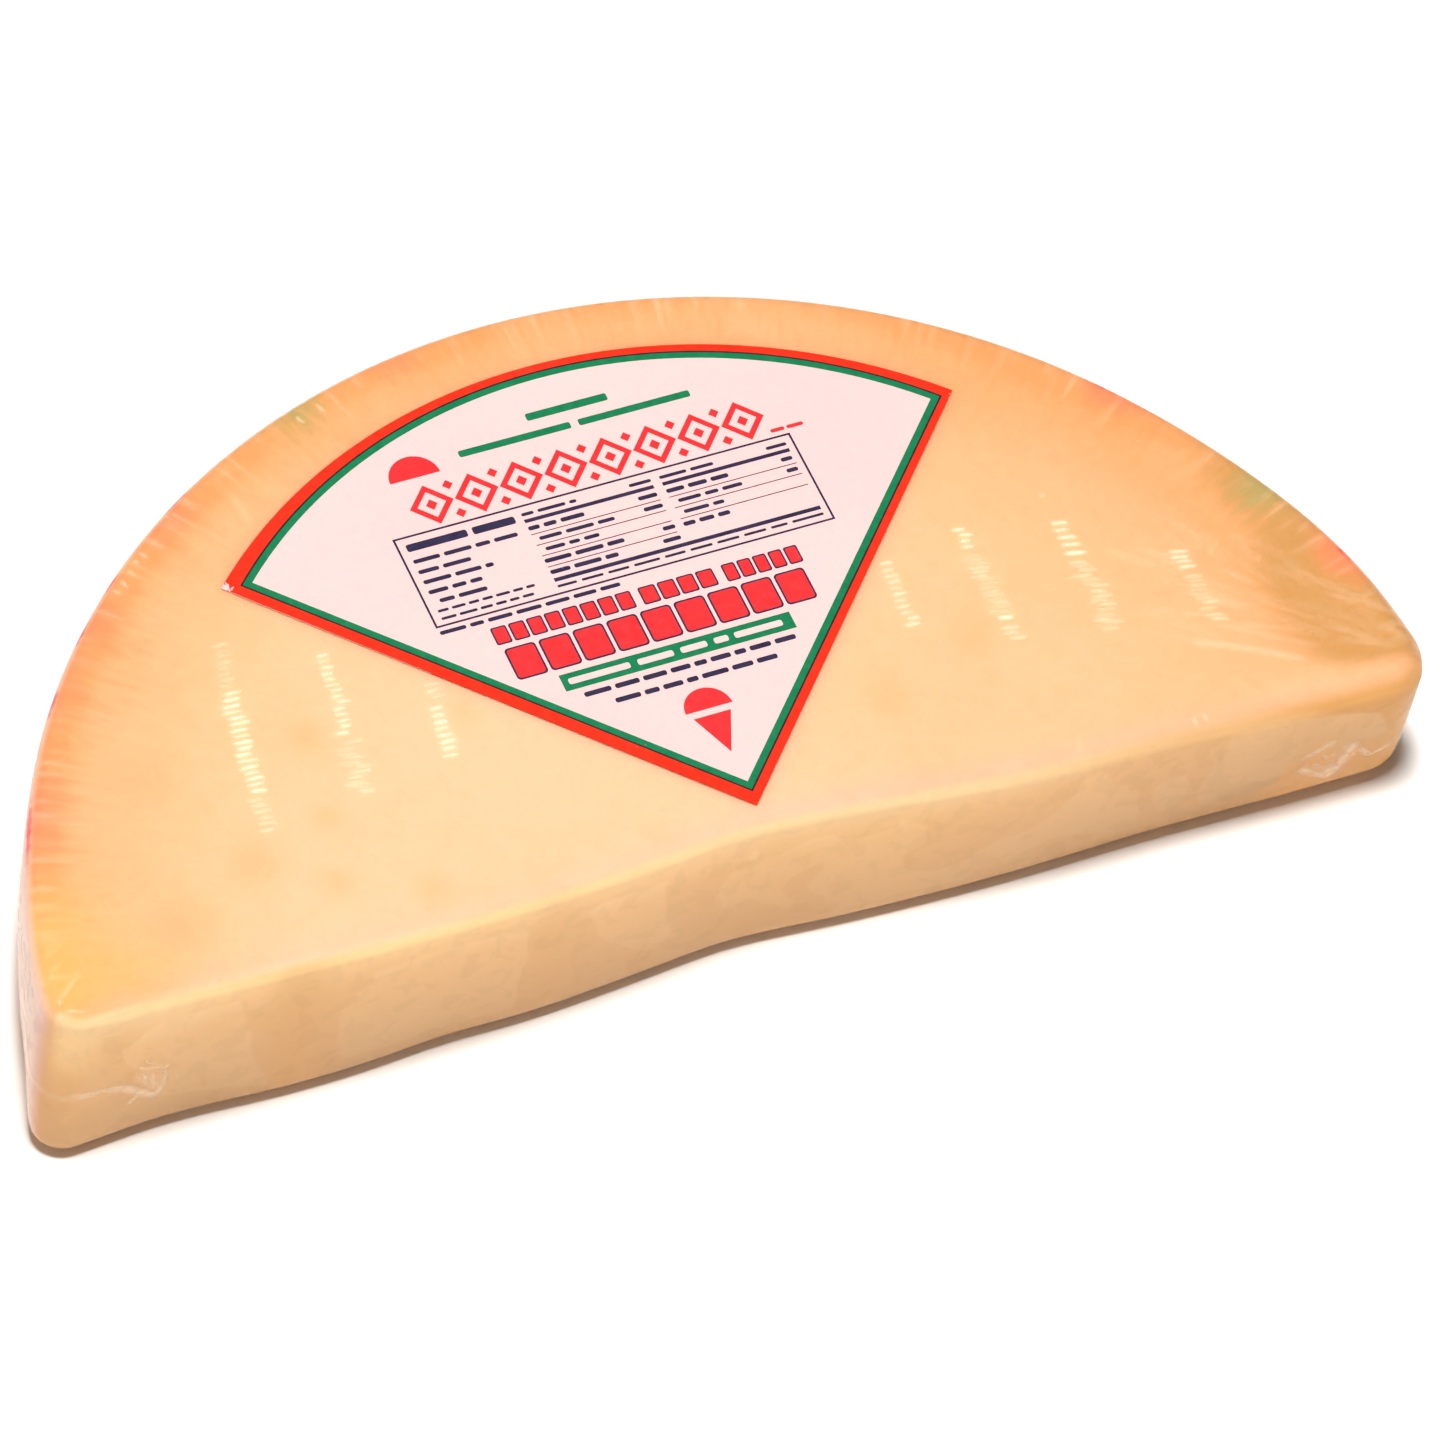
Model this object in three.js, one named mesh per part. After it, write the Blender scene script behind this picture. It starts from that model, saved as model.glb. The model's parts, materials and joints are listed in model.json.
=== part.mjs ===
// A half-moon slab of aged provolone, cut from a large round cheese and sealed in tight clear film,
// with a quarter-round paper label lying on its top. Millimetres, +Z up.
//
// The slab is laid out round the axis of the whole cheese: +X runs along the cut face and +Y points
// away from it, to the middle of the round rind. The finished group is then moved so that the slab
// stands on z = 0 with the middle of its box on the origin.
import * as THREE from 'three';

// The slab.
const wheelRadius = 151.2; // of the whole cheese, over its film
const cutOffset = 7.6; // the cut face stands this far from the axis of the whole cheese
const slabHeight = 42.3; // at the axis
const heightFall = 0.03; // the slab was sliced a little thinner towards +X: mm lost per mm
const rindBulge = 0.9; // the round wall swells by this much at half height
const cornerRadiusLeft = 8; // where the cut face meets the round wall
const cornerRadiusRight = 10.5;

// The right end of the cut has slumped outwards, and the left end has splayed out at its foot. Both
// die away along the round wall.
const slumpRight = 2.8;
const slumpReach = 95;
const splayLeftFoot = 3.2;
const splayReach = 26;

// The rounded edges round the top and the bottom. They are softest at the right end of the cut.
const topEdgeRadius = 3.2;
const bottomEdgeRadius = 5.2;
const softEdgeRadius = 6.4;

// The trim seal of the film: a fine bead that runs round the wall, lower towards +X. It dips as it
// turns the left corner, and at both ends it runs out on the cut face in a crumpled dog-ear.
const sealHeight = 21.5; // over the middle of the wall
const sealFall = 0.057; // mm lower per mm
const sealDip = 9;
const sealDipReach = 25;
const sealWidth = 2.4;
const sealStandOut = 0.45;
const sealEnd = 130; // from the axis, along the cut
const dogEarWidth = 6;
const dogEarStandOut = 1.1;

// The cut face is not flat. The knife ran a little askew and turned as it went, so the face stands
// out more towards +X, and more so at the top. Each wave then moves it in or out, by one amount at
// the top edge and another at the foot.
const cutSkew = 0.02; // mm forward per mm along the cut
const cutTwist = 0.0073; // the same, added at the top and taken away at the bottom
const cutWaves = [
  { at: 8, width: 45, top: -4.5, foot: -4.5 }, // the broad hollow near the middle
  { at: -2, width: 14, top: -0.7, foot: -0.7 }, // a crease in it
  { at: 23, width: 32, top: 0, foot: 1.8 }, // its foot is fuller
  { at: 92, width: 25, top: -0.9, foot: -0.9 }, // a flat on the right
  { at: -66, width: 14, top: 0, foot: -1 }, // a dent in the left foot
  { at: -124, width: 17, top: 0, foot: -1.6 }, // another near the left end
];
const waveReach = 45; // how far behind the cut face the slab still follows the waves

// The label: a sector of paper whose point lies near the cut face.
const labelPoint = new THREE.Vector2(2.3, 17.9);
const labelRadius = 118.4;
const labelAngle = THREE.MathUtils.degToRad(88.6);
const labelTurn = THREE.MathUtils.degToRad(0.48); // its middle line, counter-clockwise from +Y
const labelThickness = 0.35;
const labelGap = 0.3; // clear space under the paper

// How finely the solids are faceted.
const arcSteps = 84;
const cutSteps = 60;
const cornerSteps = 7;
const edgeSteps = 4;
const labelArcSteps = 48;

const cheeseMaterial = new THREE.MeshStandardMaterial({
  color: 0xf6cf92,
  roughness: 0.38,
  metalness: 0,
});
const labelMaterial = new THREE.MeshStandardMaterial({
  color: 0xf6ebe9,
  roughness: 0.5,
  metalness: 0,
});

function bell(distance, width) {
  return Math.exp(-((distance / width) ** 2));
}

// How far the cut face stands out of its plane at x, at a share of the slab's height.
function cutFaceOut(x, share) {
  const lean = (cutSkew + cutTwist * (2 * share - 1)) * x;
  const waves = cutWaves.map(
    (wave) => THREE.MathUtils.lerp(wave.foot, wave.top, share) * bell(x - wave.at, wave.width),
  );
  return waves.reduce((sum, out) => sum + out, lean);
}

// 1 beyond an end of the cut, 0 in the middle of the slab.
function nearEnd(x) {
  return THREE.MathUtils.smoothstep(x, 0.7 * wheelRadius, 0.97 * wheelRadius);
}

// How far the ends of the cut have moved along X.
function endShift(x, y, share) {
  const slump = nearEnd(x) * (1 - THREE.MathUtils.smoothstep(y - cutOffset, 0, slumpReach));
  const splay = nearEnd(-x) * (1 - THREE.MathUtils.smoothstep(y - cutOffset, 0, splayReach));
  return slumpRight * slump - splayLeftFoot * splay * (1 - share);
}

function heightAt(x) {
  return slabHeight - heightFall * x;
}

// How soft the edges are at a point of the plan: 1 at the right end of the cut, 0 far from it.
function softness(point) {
  const alongCut = THREE.MathUtils.smoothstep(point.x, 0.1 * wheelRadius, 0.95 * wheelRadius);
  const nearCut = 1 - THREE.MathUtils.smoothstep(point.y, 0.07 * wheelRadius, 0.25 * wheelRadius);
  return alongCut * nearCut;
}

// The centre of the round corner between the cut face and the wall, on the side given by +1 or -1.
function cornerCentre(side, radius) {
  const y = cutOffset + radius;
  return new THREE.Vector2(side * Math.sqrt((wheelRadius - radius) ** 2 - y ** 2), y);
}

// Points on an arc with their outward normals, from one angle up to but not including the other.
function arcPoints(centre, radius, from, to, steps) {
  return Array.from({ length: steps }, (_, step) => {
    const angle = THREE.MathUtils.lerp(from, to, step / steps);
    const normal = new THREE.Vector2(Math.cos(angle), Math.sin(angle));
    return { point: normal.clone().multiplyScalar(radius).add(centre), normal };
  });
}

// The slab's outline in plan, counter-clockwise from the right end of the round wall.
function planOutline() {
  const right = cornerCentre(1, cornerRadiusRight);
  const left = cornerCentre(-1, cornerRadiusLeft);
  const down = -Math.PI / 2;
  const wall = arcPoints(new THREE.Vector2(), wheelRadius, right.angle(), left.angle(), arcSteps);
  const leftCorner = arcPoints(left, cornerRadiusLeft, left.angle(), down + 2 * Math.PI, cornerSteps);
  const cut = Array.from({ length: cutSteps }, (_, step) => ({
    point: new THREE.Vector2(THREE.MathUtils.lerp(left.x, right.x, step / cutSteps), cutOffset),
    normal: new THREE.Vector2(0, -1),
  }));
  const rightCorner = arcPoints(right, cornerRadiusRight, down, right.angle(), cornerSteps);
  return [...wall, ...leftCorner, ...cut, ...rightCorner];
}

// How far the film's seal stands out at a point of the plan.
function sealOut(point) {
  if (point.y > cutOffset + cornerRadiusRight) {
    return sealStandOut;
  }
  const alongCut = Math.abs(point.x);
  const ridge = sealStandOut * THREE.MathUtils.smoothstep(alongCut, sealEnd - dogEarWidth, sealEnd);
  return Math.max(ridge, dogEarStandOut * bell(alongCut - sealEnd, dogEarWidth));
}

// The height of the film's seal at a point of the plan.
function sealHeightAt(point) {
  const onLeft = THREE.MathUtils.smoothstep(-point.x, 0, 0.5 * wheelRadius);
  const turned = 1 - THREE.MathUtils.smoothstep(point.y - cutOffset, 0, sealDipReach);
  return sealHeight - sealFall * point.x - sealDip * onLeft * turned;
}

// The wall's section at one point of the plan, from the bottom face to the top face: how far each
// level stands out of the outline, and its height.
function wallSection(point, soft) {
  const bottom = THREE.MathUtils.lerp(bottomEdgeRadius, softEdgeRadius, soft);
  const top = THREE.MathUtils.lerp(topEdgeRadius, softEdgeRadius, soft);
  const height = heightAt(point.x);
  const turns = Array.from({ length: edgeSteps + 1 }, (_, step) => (step / edgeSteps) * (Math.PI / 2));
  const lower = turns.map((turn) => ({
    out: -bottom * (1 - Math.sin(turn)),
    z: bottom * (1 - Math.cos(turn)),
  }));
  const upper = turns.toReversed().map((turn) => ({
    out: -top * (1 - Math.sin(turn)),
    z: height - top * (1 - Math.cos(turn)),
  }));
  const bead = [-sealWidth / 2, 0, sealWidth / 2].map((rise) => ({
    out: rise === 0 ? sealOut(point) : 0,
    z: sealHeightAt(point) + rise,
  }));
  return [...lower, ...bead, ...upper];
}

// Moves a point of the plain slab to where the real one has it.
function settle(x, y, z) {
  const share = z / heightAt(x);
  const follow = 1 - THREE.MathUtils.smoothstep(y - cutOffset, 0, waveReach);
  return [x + endShift(x, y, share), y - follow * cutFaceOut(x, share), z];
}

function slabGeometry() {
  const outline = planOutline();
  const levels = wallSection(outline[0].point, 0).length;
  const positions = [];
  for (const { point, normal } of outline) {
    const roundness = THREE.MathUtils.smoothstep(normal.y, -0.9, 0);
    for (const level of wallSection(point, softness(point))) {
      const swell = rindBulge * roundness * Math.sin((Math.PI * level.z) / heightAt(point.x));
      const out = level.out + swell;
      positions.push(...settle(point.x + out * normal.x, point.y + out * normal.y, level.z));
    }
  }
  flattenTop(positions, levels);
  const faces = wallFaces(outline.length, levels);
  const ring = (level) => outline.map((_, column) => column * levels + level);
  faces.push(...capFaces(positions, ring(0)).map(([a, b, c]) => [a, c, b]));
  faces.push(...capFaces(positions, ring(levels - 1)));
  return closedGeometry(positions, faces);
}

// Lays the ring round the top face on one plane.
function flattenTop(positions, levels) {
  for (let vertex = levels - 1; vertex * 3 < positions.length; vertex += levels) {
    positions[vertex * 3 + 2] = heightAt(positions[vertex * 3]);
  }
}

function wallFaces(columns, levels) {
  const faces = [];
  for (let column = 0; column < columns; column += 1) {
    const here = column * levels;
    const next = ((column + 1) % columns) * levels;
    for (let level = 0; level < levels - 1; level += 1) {
      faces.push([here + level, next + level, next + level + 1]);
      faces.push([here + level, next + level + 1, here + level + 1]);
    }
  }
  return faces;
}

// Triangles that fill a flat ring of vertices, facing up where the ring runs counter-clockwise.
function capFaces(positions, ring) {
  const flat = ring.map((index) => new THREE.Vector2(positions[index * 3], positions[index * 3 + 1]));
  return THREE.ShapeUtils.triangulateShape(flat, []).map((face) => face.map((corner) => ring[corner]));
}

function closedGeometry(positions, faces) {
  const geometry = new THREE.BufferGeometry();
  geometry.setAttribute('position', new THREE.Float32BufferAttribute(positions, 3));
  geometry.setIndex(faces.flat());
  geometry.computeVertexNormals();
  return geometry;
}

// The label, flat on z = 0, with its point at its own origin and its middle along +Y.
function labelGeometry() {
  const from = Math.PI / 2 + labelTurn - labelAngle / 2;
  const shape = new THREE.Shape();
  shape.moveTo(0, 0);
  shape.lineTo(labelRadius * Math.cos(from), labelRadius * Math.sin(from));
  shape.absarc(0, 0, labelRadius, from, from + labelAngle, false);
  shape.closePath();
  return new THREE.ExtrudeGeometry(shape, {
    depth: labelThickness,
    bevelEnabled: false,
    curveSegments: labelArcSteps,
  });
}

const wrappedCheese = new THREE.Mesh(slabGeometry(), cheeseMaterial);
wrappedCheese.name = 'wrapped_cheese';

const label = new THREE.Mesh(labelGeometry(), labelMaterial);
label.name = 'label';
label.position.set(labelPoint.x, labelPoint.y, heightAt(labelPoint.x) + labelGap);
label.rotation.y = Math.atan(heightFall); // the paper lies along the top face

const provolone = new THREE.Group();
provolone.add(wrappedCheese, label);

const box = new THREE.Box3().setFromObject(wrappedCheese);
const middle = box.getCenter(new THREE.Vector3());
provolone.position.set(-middle.x, -middle.y, 0);

export default provolone;
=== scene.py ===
# %% [markdown]
# # A film-wrapped half-moon of provolone
#
# The object is a thick half-moon slab, cut from a large round cheese and sealed in clear shrink film.
# A quarter-round paper label lies flat on its top, under the film. The lesson builds it from the inside
# outwards: the cheese, the paper, the printed colours, and last the film that lies over everything.
# All lengths are in millimetres until a mesh is made, because that is how a cheese is measured.

# %% Tools, and the frame that everything has to fit
import json
import math

import bpy
import numpy as np
from mathutils import Matrix, Vector
from mathutils.geometry import delaunay_2d_cdt

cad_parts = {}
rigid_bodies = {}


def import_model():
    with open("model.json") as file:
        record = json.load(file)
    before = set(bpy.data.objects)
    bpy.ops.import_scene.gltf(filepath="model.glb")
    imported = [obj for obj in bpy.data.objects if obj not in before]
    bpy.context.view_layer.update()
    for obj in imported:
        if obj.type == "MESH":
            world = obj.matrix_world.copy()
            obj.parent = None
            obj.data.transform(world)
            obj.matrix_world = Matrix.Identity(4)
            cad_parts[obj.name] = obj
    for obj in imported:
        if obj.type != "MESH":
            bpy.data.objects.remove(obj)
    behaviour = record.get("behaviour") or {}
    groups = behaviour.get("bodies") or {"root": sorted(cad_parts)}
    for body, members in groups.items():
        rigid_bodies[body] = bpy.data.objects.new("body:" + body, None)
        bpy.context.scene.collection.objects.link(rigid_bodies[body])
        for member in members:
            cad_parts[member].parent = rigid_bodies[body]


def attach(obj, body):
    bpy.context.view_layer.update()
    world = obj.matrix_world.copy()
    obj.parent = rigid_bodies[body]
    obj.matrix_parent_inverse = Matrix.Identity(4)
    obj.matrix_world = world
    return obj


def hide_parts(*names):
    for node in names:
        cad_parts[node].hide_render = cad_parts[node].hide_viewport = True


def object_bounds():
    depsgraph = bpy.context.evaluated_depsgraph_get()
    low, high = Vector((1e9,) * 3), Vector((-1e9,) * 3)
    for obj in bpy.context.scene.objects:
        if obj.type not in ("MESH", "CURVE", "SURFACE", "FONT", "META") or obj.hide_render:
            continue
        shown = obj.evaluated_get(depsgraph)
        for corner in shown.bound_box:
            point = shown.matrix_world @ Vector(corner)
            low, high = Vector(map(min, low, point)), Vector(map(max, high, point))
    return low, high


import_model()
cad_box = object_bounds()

mm = 0.001
chance = np.random.default_rng(41)
print("frame box, in metres:", [[round(v, 4) for v in corner] for corner in cad_box])


# %% [markdown]
# ## The form of the slab
#
# Half a wheel is a half disc pulled up to a thickness, but a real cut is never that clean: the knife runs
# askew, the ends slump and every edge is rounded. It could be sculpted by hand. Here it is a set of small
# formulas round the wheel's axis, because the cheese, the film and the ink all need to find the same
# surface again, each at its own depth and its own fineness.

# %% Sizes of the slab
wheel_radius = 151.2
cut_offset = 7.6  # the cut stands this far from the wheel's axis
slab_height = 42.3
height_fall = 0.03  # the slab thins towards +X
rind_bulge = 0.9
corner_left, corner_right = 8.0, 10.5
slump_right, slump_reach = 2.8, 95.0
splay_foot, splay_reach = 3.2, 26.0
top_round, foot_round, soft_round = 3.2, 5.2, 6.4
cut_skew, cut_twist = 0.02, 0.0073
# Each wave of the cut: where it is, how wide, and how far out at the top and at the foot.
cut_waves = [
    (8, 45, -4.5, -4.5),
    (-2, 14, -0.7, -0.7),
    (23, 32, 0, 1.8),
    (92, 25, -0.9, -0.9),
    (-66, 14, 0, -1),
    (-124, 17, 0, -1.6),
]
wave_reach = 45.0
axis_at = np.array([-0.478, -78.350])  # where the wheel's axis stands in the frame


# %% Small curves used all over
def smooth(value, low, high):
    """0 below low, 1 above high, and an S-shaped rise between."""
    share = np.clip((value - low) / (high - low), 0, 1)
    return share * share * (3 - 2 * share)


def bell(distance, width):
    return np.exp(-((distance / width) ** 2))


def height_at(x):
    return slab_height - height_fall * x


def softness(x, y):
    """How soft the edges are: 1 at the right end of the cut, 0 far from it."""
    along = smooth(x, 0.1 * wheel_radius, 0.95 * wheel_radius)
    near = 1 - smooth(y, 0.07 * wheel_radius, 0.25 * wheel_radius)
    return along * near


def cut_face_out(x, share):
    """How far the cut stands out of its plane, at a share of the height."""
    out = (cut_skew + cut_twist * (2 * share - 1)) * x
    for at, width, top, foot in cut_waves:
        out = out + (foot + (top - foot) * share) * bell(x - at, width)
    return out


def settle(x, y, z):
    """Moves a point of the plain half disc to where the real slab has it."""
    share = z / height_at(x)
    behind = y - cut_offset
    slump = smooth(x, 0.7 * wheel_radius, 0.97 * wheel_radius) * (1 - smooth(behind, 0, slump_reach))
    splay = smooth(-x, 0.7 * wheel_radius, 0.97 * wheel_radius) * (1 - smooth(behind, 0, splay_reach))
    shift = slump_right * slump - splay_foot * splay * (1 - share)
    follow = 1 - smooth(behind, 0, wave_reach)
    return x + shift, y - follow * cut_face_out(x, share)


# %% [markdown]
# ### Walking round the outline
#
# In plan the slab is one long arc, two rounded corners and the straight cut. Measured as one walk from the
# right end, any place on the wall is then a distance walked and a height climbed. That makes the wall a
# flat sheet to lay points on, which is bent round the slab afterwards.

# %% The outline in plan
arc_steps, corner_steps, cut_steps = 2400, 90, 1400


def corner_middle(side, radius):
    y = cut_offset + radius
    return np.array([side * math.sqrt((wheel_radius - radius) ** 2 - y * y), y])


right_middle = corner_middle(1, corner_right)
left_middle = corner_middle(-1, corner_left)
right_turn = math.atan2(right_middle[1], right_middle[0])
left_turn = math.atan2(left_middle[1], left_middle[0])


def arc(middle, radius, start, stop, count):
    turn = np.linspace(start, stop, count, endpoint=False)
    normal = np.column_stack([np.cos(turn), np.sin(turn)])
    return middle + radius * normal, normal


def walk_outline():
    """Points and outward normals round the plan, counter-clockwise from the right end of the wall."""
    cut = np.full((cut_steps, 2), cut_offset)
    cut[:, 0] = np.linspace(left_middle[0], right_middle[0], cut_steps, endpoint=False)
    parts = [
        arc(np.zeros(2), wheel_radius, right_turn, left_turn, arc_steps),
        arc(left_middle, corner_left, left_turn, 1.5 * math.pi, corner_steps),
        (cut, np.tile([0.0, -1.0], (cut_steps, 1))),
        arc(right_middle, corner_right, -math.pi / 2, right_turn, corner_steps),
    ]
    return map(np.vstack, zip(*parts))


outline_points, outline_normals = walk_outline()
steps = np.linalg.norm(np.roll(outline_points, -1, axis=0) - outline_points, axis=1)
walked = np.concatenate([[0], np.cumsum(steps)[:-1]])
walk_length = float(steps.sum())
print("once round the slab is", round(walk_length), "mm")


# %% Any place along the walk
def outline_at(run):
    """Point and normal at a distance walked."""
    table = np.column_stack([outline_points, outline_normals])
    x, y, nx, ny = (np.interp(run, walked, column, period=walk_length) for column in table.T)
    length = np.hypot(nx, ny)
    return x, y, nx / length, ny / length


# %% [markdown]
# ### The film's own relief
#
# Shrink film is tight but never smooth. The sealing machine's belt left ladders of fine rungs across the
# top, the rim is gathered into hundreds of tiny pleats, long folds fan out of the right corner, a trim
# seal runs round the wall, and at both ends of the cut it runs out in a crumpled ear. A bump texture alone
# would vanish at the silhouette and catch no real highlights, so these are ridges in the mesh. Each is a
# mark: a place, a turn, half its length and width, a height, and a milkiness. The milkiness is partly the
# stretched film's own, and on the rungs, the glints and the bright fold lines it is a painted highlight.

# %% A mark, and how many of them add up
def add_marks(u, v, marks):
    """The height and the milkiness, painted highlights included, that a list of marks gives at the points
    (u, v).
    """
    lift = np.zeros_like(u)
    milk_and_glint = np.zeros_like(u)
    for mark_u, mark_v, turn, half_long, half_wide, height, white_and_glint in marks:
        reach = 1.6 * half_long + 2.6 * half_wide
        near = np.flatnonzero((np.abs(u - mark_u) < reach) & (np.abs(v - mark_v) < reach))
        cos, sin = math.cos(math.radians(turn)), math.sin(math.radians(turn))
        along = (u[near] - mark_u) * cos + (v[near] - mark_v) * sin
        across = (v[near] - mark_v) * cos - (u[near] - mark_u) * sin
        shape = np.exp(-((along / half_long) ** 4)) * bell(across, half_wide)
        lift[near] += height * shape
        milk_and_glint[near] = np.maximum(milk_and_glint[near], white_and_glint * shape)
    return lift, milk_and_glint


def creases(*rows):
    """Bent ridges, as one mark a piece. A row is half the width, the height, the milkiness (a painted
    highlight on glint lines) and the path.
    """
    marks = []
    for half_wide, height, white_and_glint, *path in rows:
        for (u0, v0), (u1, v1) in zip(path, path[1:]):
            turn = math.degrees(math.atan2(v1 - v0, u1 - u0))
            half_long = 0.62 * math.hypot(u1 - u0, v1 - v0)
            marks.append(((u0 + u1) / 2, (v0 + v1) / 2, turn, half_long, half_wide, height, white_and_glint))
    return marks


# %% Ladders of rungs across the top
ladders = [  # top x and y, foot x and y, half length of a rung, pitch, tilt, strength, unevenness
    (-86.3, 89.5, -88.6, 78.2, 1.5, 1.5, -4, 0.3, 0.3),
    (-88.8, 77.6, -92.5, 52.0, 1.8, 1.55, -4, 1.0, 0.2),
    (-92.6, 51.5, -94.0, 42.5, 1.7, 1.5, -4, 0.45, 0.4),
    (-67.4, 80.5, -69.8, 60.0, 1.35, 1.42, -6, 0.75, 0.2),
    (-70.4, 58.5, -72.5, 45.5, 2.0, 1.2, -6, 0.4, 0.9),
    (-49.2, 67.0, -49.9, 62.5, 1.3, 1.6, -4, 0.4, 0.3),
    (-50.0, 61.4, -51.8, 48.0, 1.5, 1.75, -4, 1.0, 0.2),
    (52.2, 66.5, 51.4, 49.0, 1.4, 1.6, -6, 0.7, 0.2),
    (70.8, 70.0, 70.8, 63.8, 1.25, 1.6, -10, 0.75, 0.2),
    (70.6, 62.6, 70.4, 46.6, 2.2, 1.1, -10, 0.4, 0.5),
    (70.5, 45.4, 70.5, 45.3, 1.8, 1.5, -10, 1.6, 0),
    (70.6, 43.4, 70.8, 39.4, 1.7, 1.5, -10, 0.5, 0.4),
    (91.0, 72.9, 91.1, 71.4, 1.0, 1.5, -10, 0.4, 0.3),
    (91.2, 65.4, 91.6, 57.6, 1.8, 1.8, -11, 1.0, 0.15),
    (91.6, 56.3, 91.6, 56.2, 2.0, 1.5, -11, 1.6, 0),
    (91.8, 54.4, 91.6, 35.6, 2.0, 1.15, -12, 0.45, 0.5),
    (112.6, 50.6, 112.6, 45.0, 1.8, 1.5, -12, 0.9, 0.15),
    (112.6, 43.6, 112.6, 34.0, 1.9, 1.2, -12, 0.5, 0.4),
    (112.7, 33.2, 113.0, 30.6, 1.7, 1.4, -12, 0.65, 0.2),
]
# the rungs' milkiness is a painted highlight, where the film's ridges would mirror a light
rung_half_wide, rung_height, rung_glint, most_rung_glint, band_glint = 0.46, 0.12, 0.75, 0.9, 0.09
rungs = []
for x0, y0, x1, y1, half_long, pitch, tilt, strength, uneven in ladders:
    count = max(1, round((y0 - y1) / pitch))
    for share in (np.arange(count) + 0.5) / count:
        power = strength * chance.uniform(0.55, 1.05)
        rungs.append(
            (
                x0 + (x1 - x0) * share + chance.normal(0, 0.12 + uneven),
                y0 + (y1 - y0) * share + chance.normal(0, 0.08),
                tilt + chance.normal(0, 2.5),
                half_long * chance.uniform(0.85, 1.15),
                rung_half_wide,
                rung_height * min(power, 1),
                min(rung_glint * power, most_rung_glint),
            )
        )
    run_turn = math.degrees(math.atan2(y1 - y0, x1 - x0))
    band_long = 0.5 * math.hypot(x1 - x0, y1 - y0)
    middle_x, middle_y = (x0 + x1) / 2, (y0 + y1) / 2
    rungs.append((middle_x, middle_y, run_turn, band_long, half_long, 0.0, band_glint * strength))
print("rungs in the film:", len(rungs))

# %% Folds and glints on the top
# the milkiness of these folds and streaks is partly a painted highlight
corner_folds_and_glints = creases(
    (0.95, 0.16, 0.17, (106, 27.3), (112.8, 24.1), (117.6, 21.4), (125, 16.8)),
    (0.55, 0.08, 0.2, (110, 25.4), (116.6, 21.8), (122, 18.6)),
    (0.7, -0.12, 0, (112.4, 26.5), (119.6, 22.6), (127, 18.2)),
    (0.75, 0.1, 0.09, (112.8, 29.9), (125.2, 21.7), (130, 18.6)),
    (0.7, 0.08, 0.06, (103, 34.1), (111, 27.6)),
    (0.6, 0.14, 0.16, (139, 29.4), (144, 26.0), (150.2, 21.0)),
    (0.6, 0.1, 0.12, (139.6, 31.4), (147.8, 24.0)),
    (0.55, 0.12, 0.18, (144.8, 19.4), (150.2, 14.6)),
    (0.8, 0.09, 0.07, (128, 40), (143, 30.4)),
    (0.8, 0.09, 0.06, (121, 36), (137, 25.2)),
)
fan_foot, fan_streaks = (150, 12), 70  # faint streaks that fan out from the right corner
for _ in range(fan_streaks):
    turn = chance.uniform(118, 160)
    away = chance.uniform(8, 62)
    u = fan_foot[0] + away * math.cos(math.radians(turn))
    v = fan_foot[1] + away * math.sin(math.radians(turn))
    if math.hypot(u, v) < wheel_radius - 6:
        length, half_wide = chance.uniform(2.5, 9), chance.uniform(0.4, 0.9)
        height, white_and_glint = chance.normal(0.02, 0.06), chance.uniform(0, 0.13)
        corner_folds_and_glints.append((u, v, turn + chance.normal(0, 7), length, half_wide, height, white_and_glint))
# a film crease over the label's corner, its pale line a painted highlight
label_crease_glints = creases((0.4, 0.1, 0.12, (-70.2, 123.2), (-70.1, 116.6)))
# a painted highlight at the left corner, and painted bright streaks and lines along the front edge
left_glints = [(-148.6, 14.8, 50, 0.9, 0.9, 0.1, 0.6)]
left_glints += creases(
    (0.5, 0.08, 0.16, (-147.2, 18.1), (-141.8, 22.5)),
    (0.4, 0.06, 0.12, (-145.4, 19.5), (-143.7, 20.6)),
    (0.4, 0.06, 0.12, (-148.4, 17.2), (-145.4, 19.7)),
    (0.45, 0.06, 0.08, (-147.2, 24.6), (-143.8, 26.6)),
    (0.45, 0.06, 0.08, (-146.6, 28.4), (-142.8, 30.2)),
    (0.5, 0.04, 0.16, (-149.5, 12.6), (-146, 12.2), (-134, 12.6)),
    (0.5, 0.03, 0.1, (-134, 12.6), (-112, 12.3), (-90, 11.7), (-66, 11)),
)
# short painted highlights across the top front edge
front_glint_ticks = [(x, 9.4, 70 + 20 * k, 0.8, 0.3, 0.1, 0.35) for k, x in enumerate((97.4, 100.0))]
front_glint_ticks += [(x, 10.6, 80, 1.5, 0.3, 0.08, 0.14) for x in (56.8, 58.6, 70.6, 72.2)]

# %% Pleats round the rim
rim_glints = [(-101.7, 107.8), (-99.5, 109.2), (-97.0, 111.6), (-95.1, 113.4), (-93.2, 115.0)]
rim_glints += [(-85.3, 123.2), (-49.8, 137.7), (-44.6, 139.4)]
# painted highlights on the rim's pleats
glint_marks = [(x, y, -68, 1.1, 0.36, 0.12, 0.34) for x, y in rim_glints]
pleat_count = 420
pleats = []  # turn, how far in from the rim and down the wall, half width, height, milkiness with a painted glint
for _ in range(pleat_count):
    depth = chance.uniform(0.35, 1) * chance.uniform(3, 11)
    half_wide = chance.uniform(0.45, 0.9)
    height = chance.normal(0, 0.045)
    white_and_glint = max(0, chance.normal(0.0, 0.07))
    pleats.append((math.radians(chance.uniform(4, 177)), depth, half_wide, height, white_and_glint))


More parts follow.
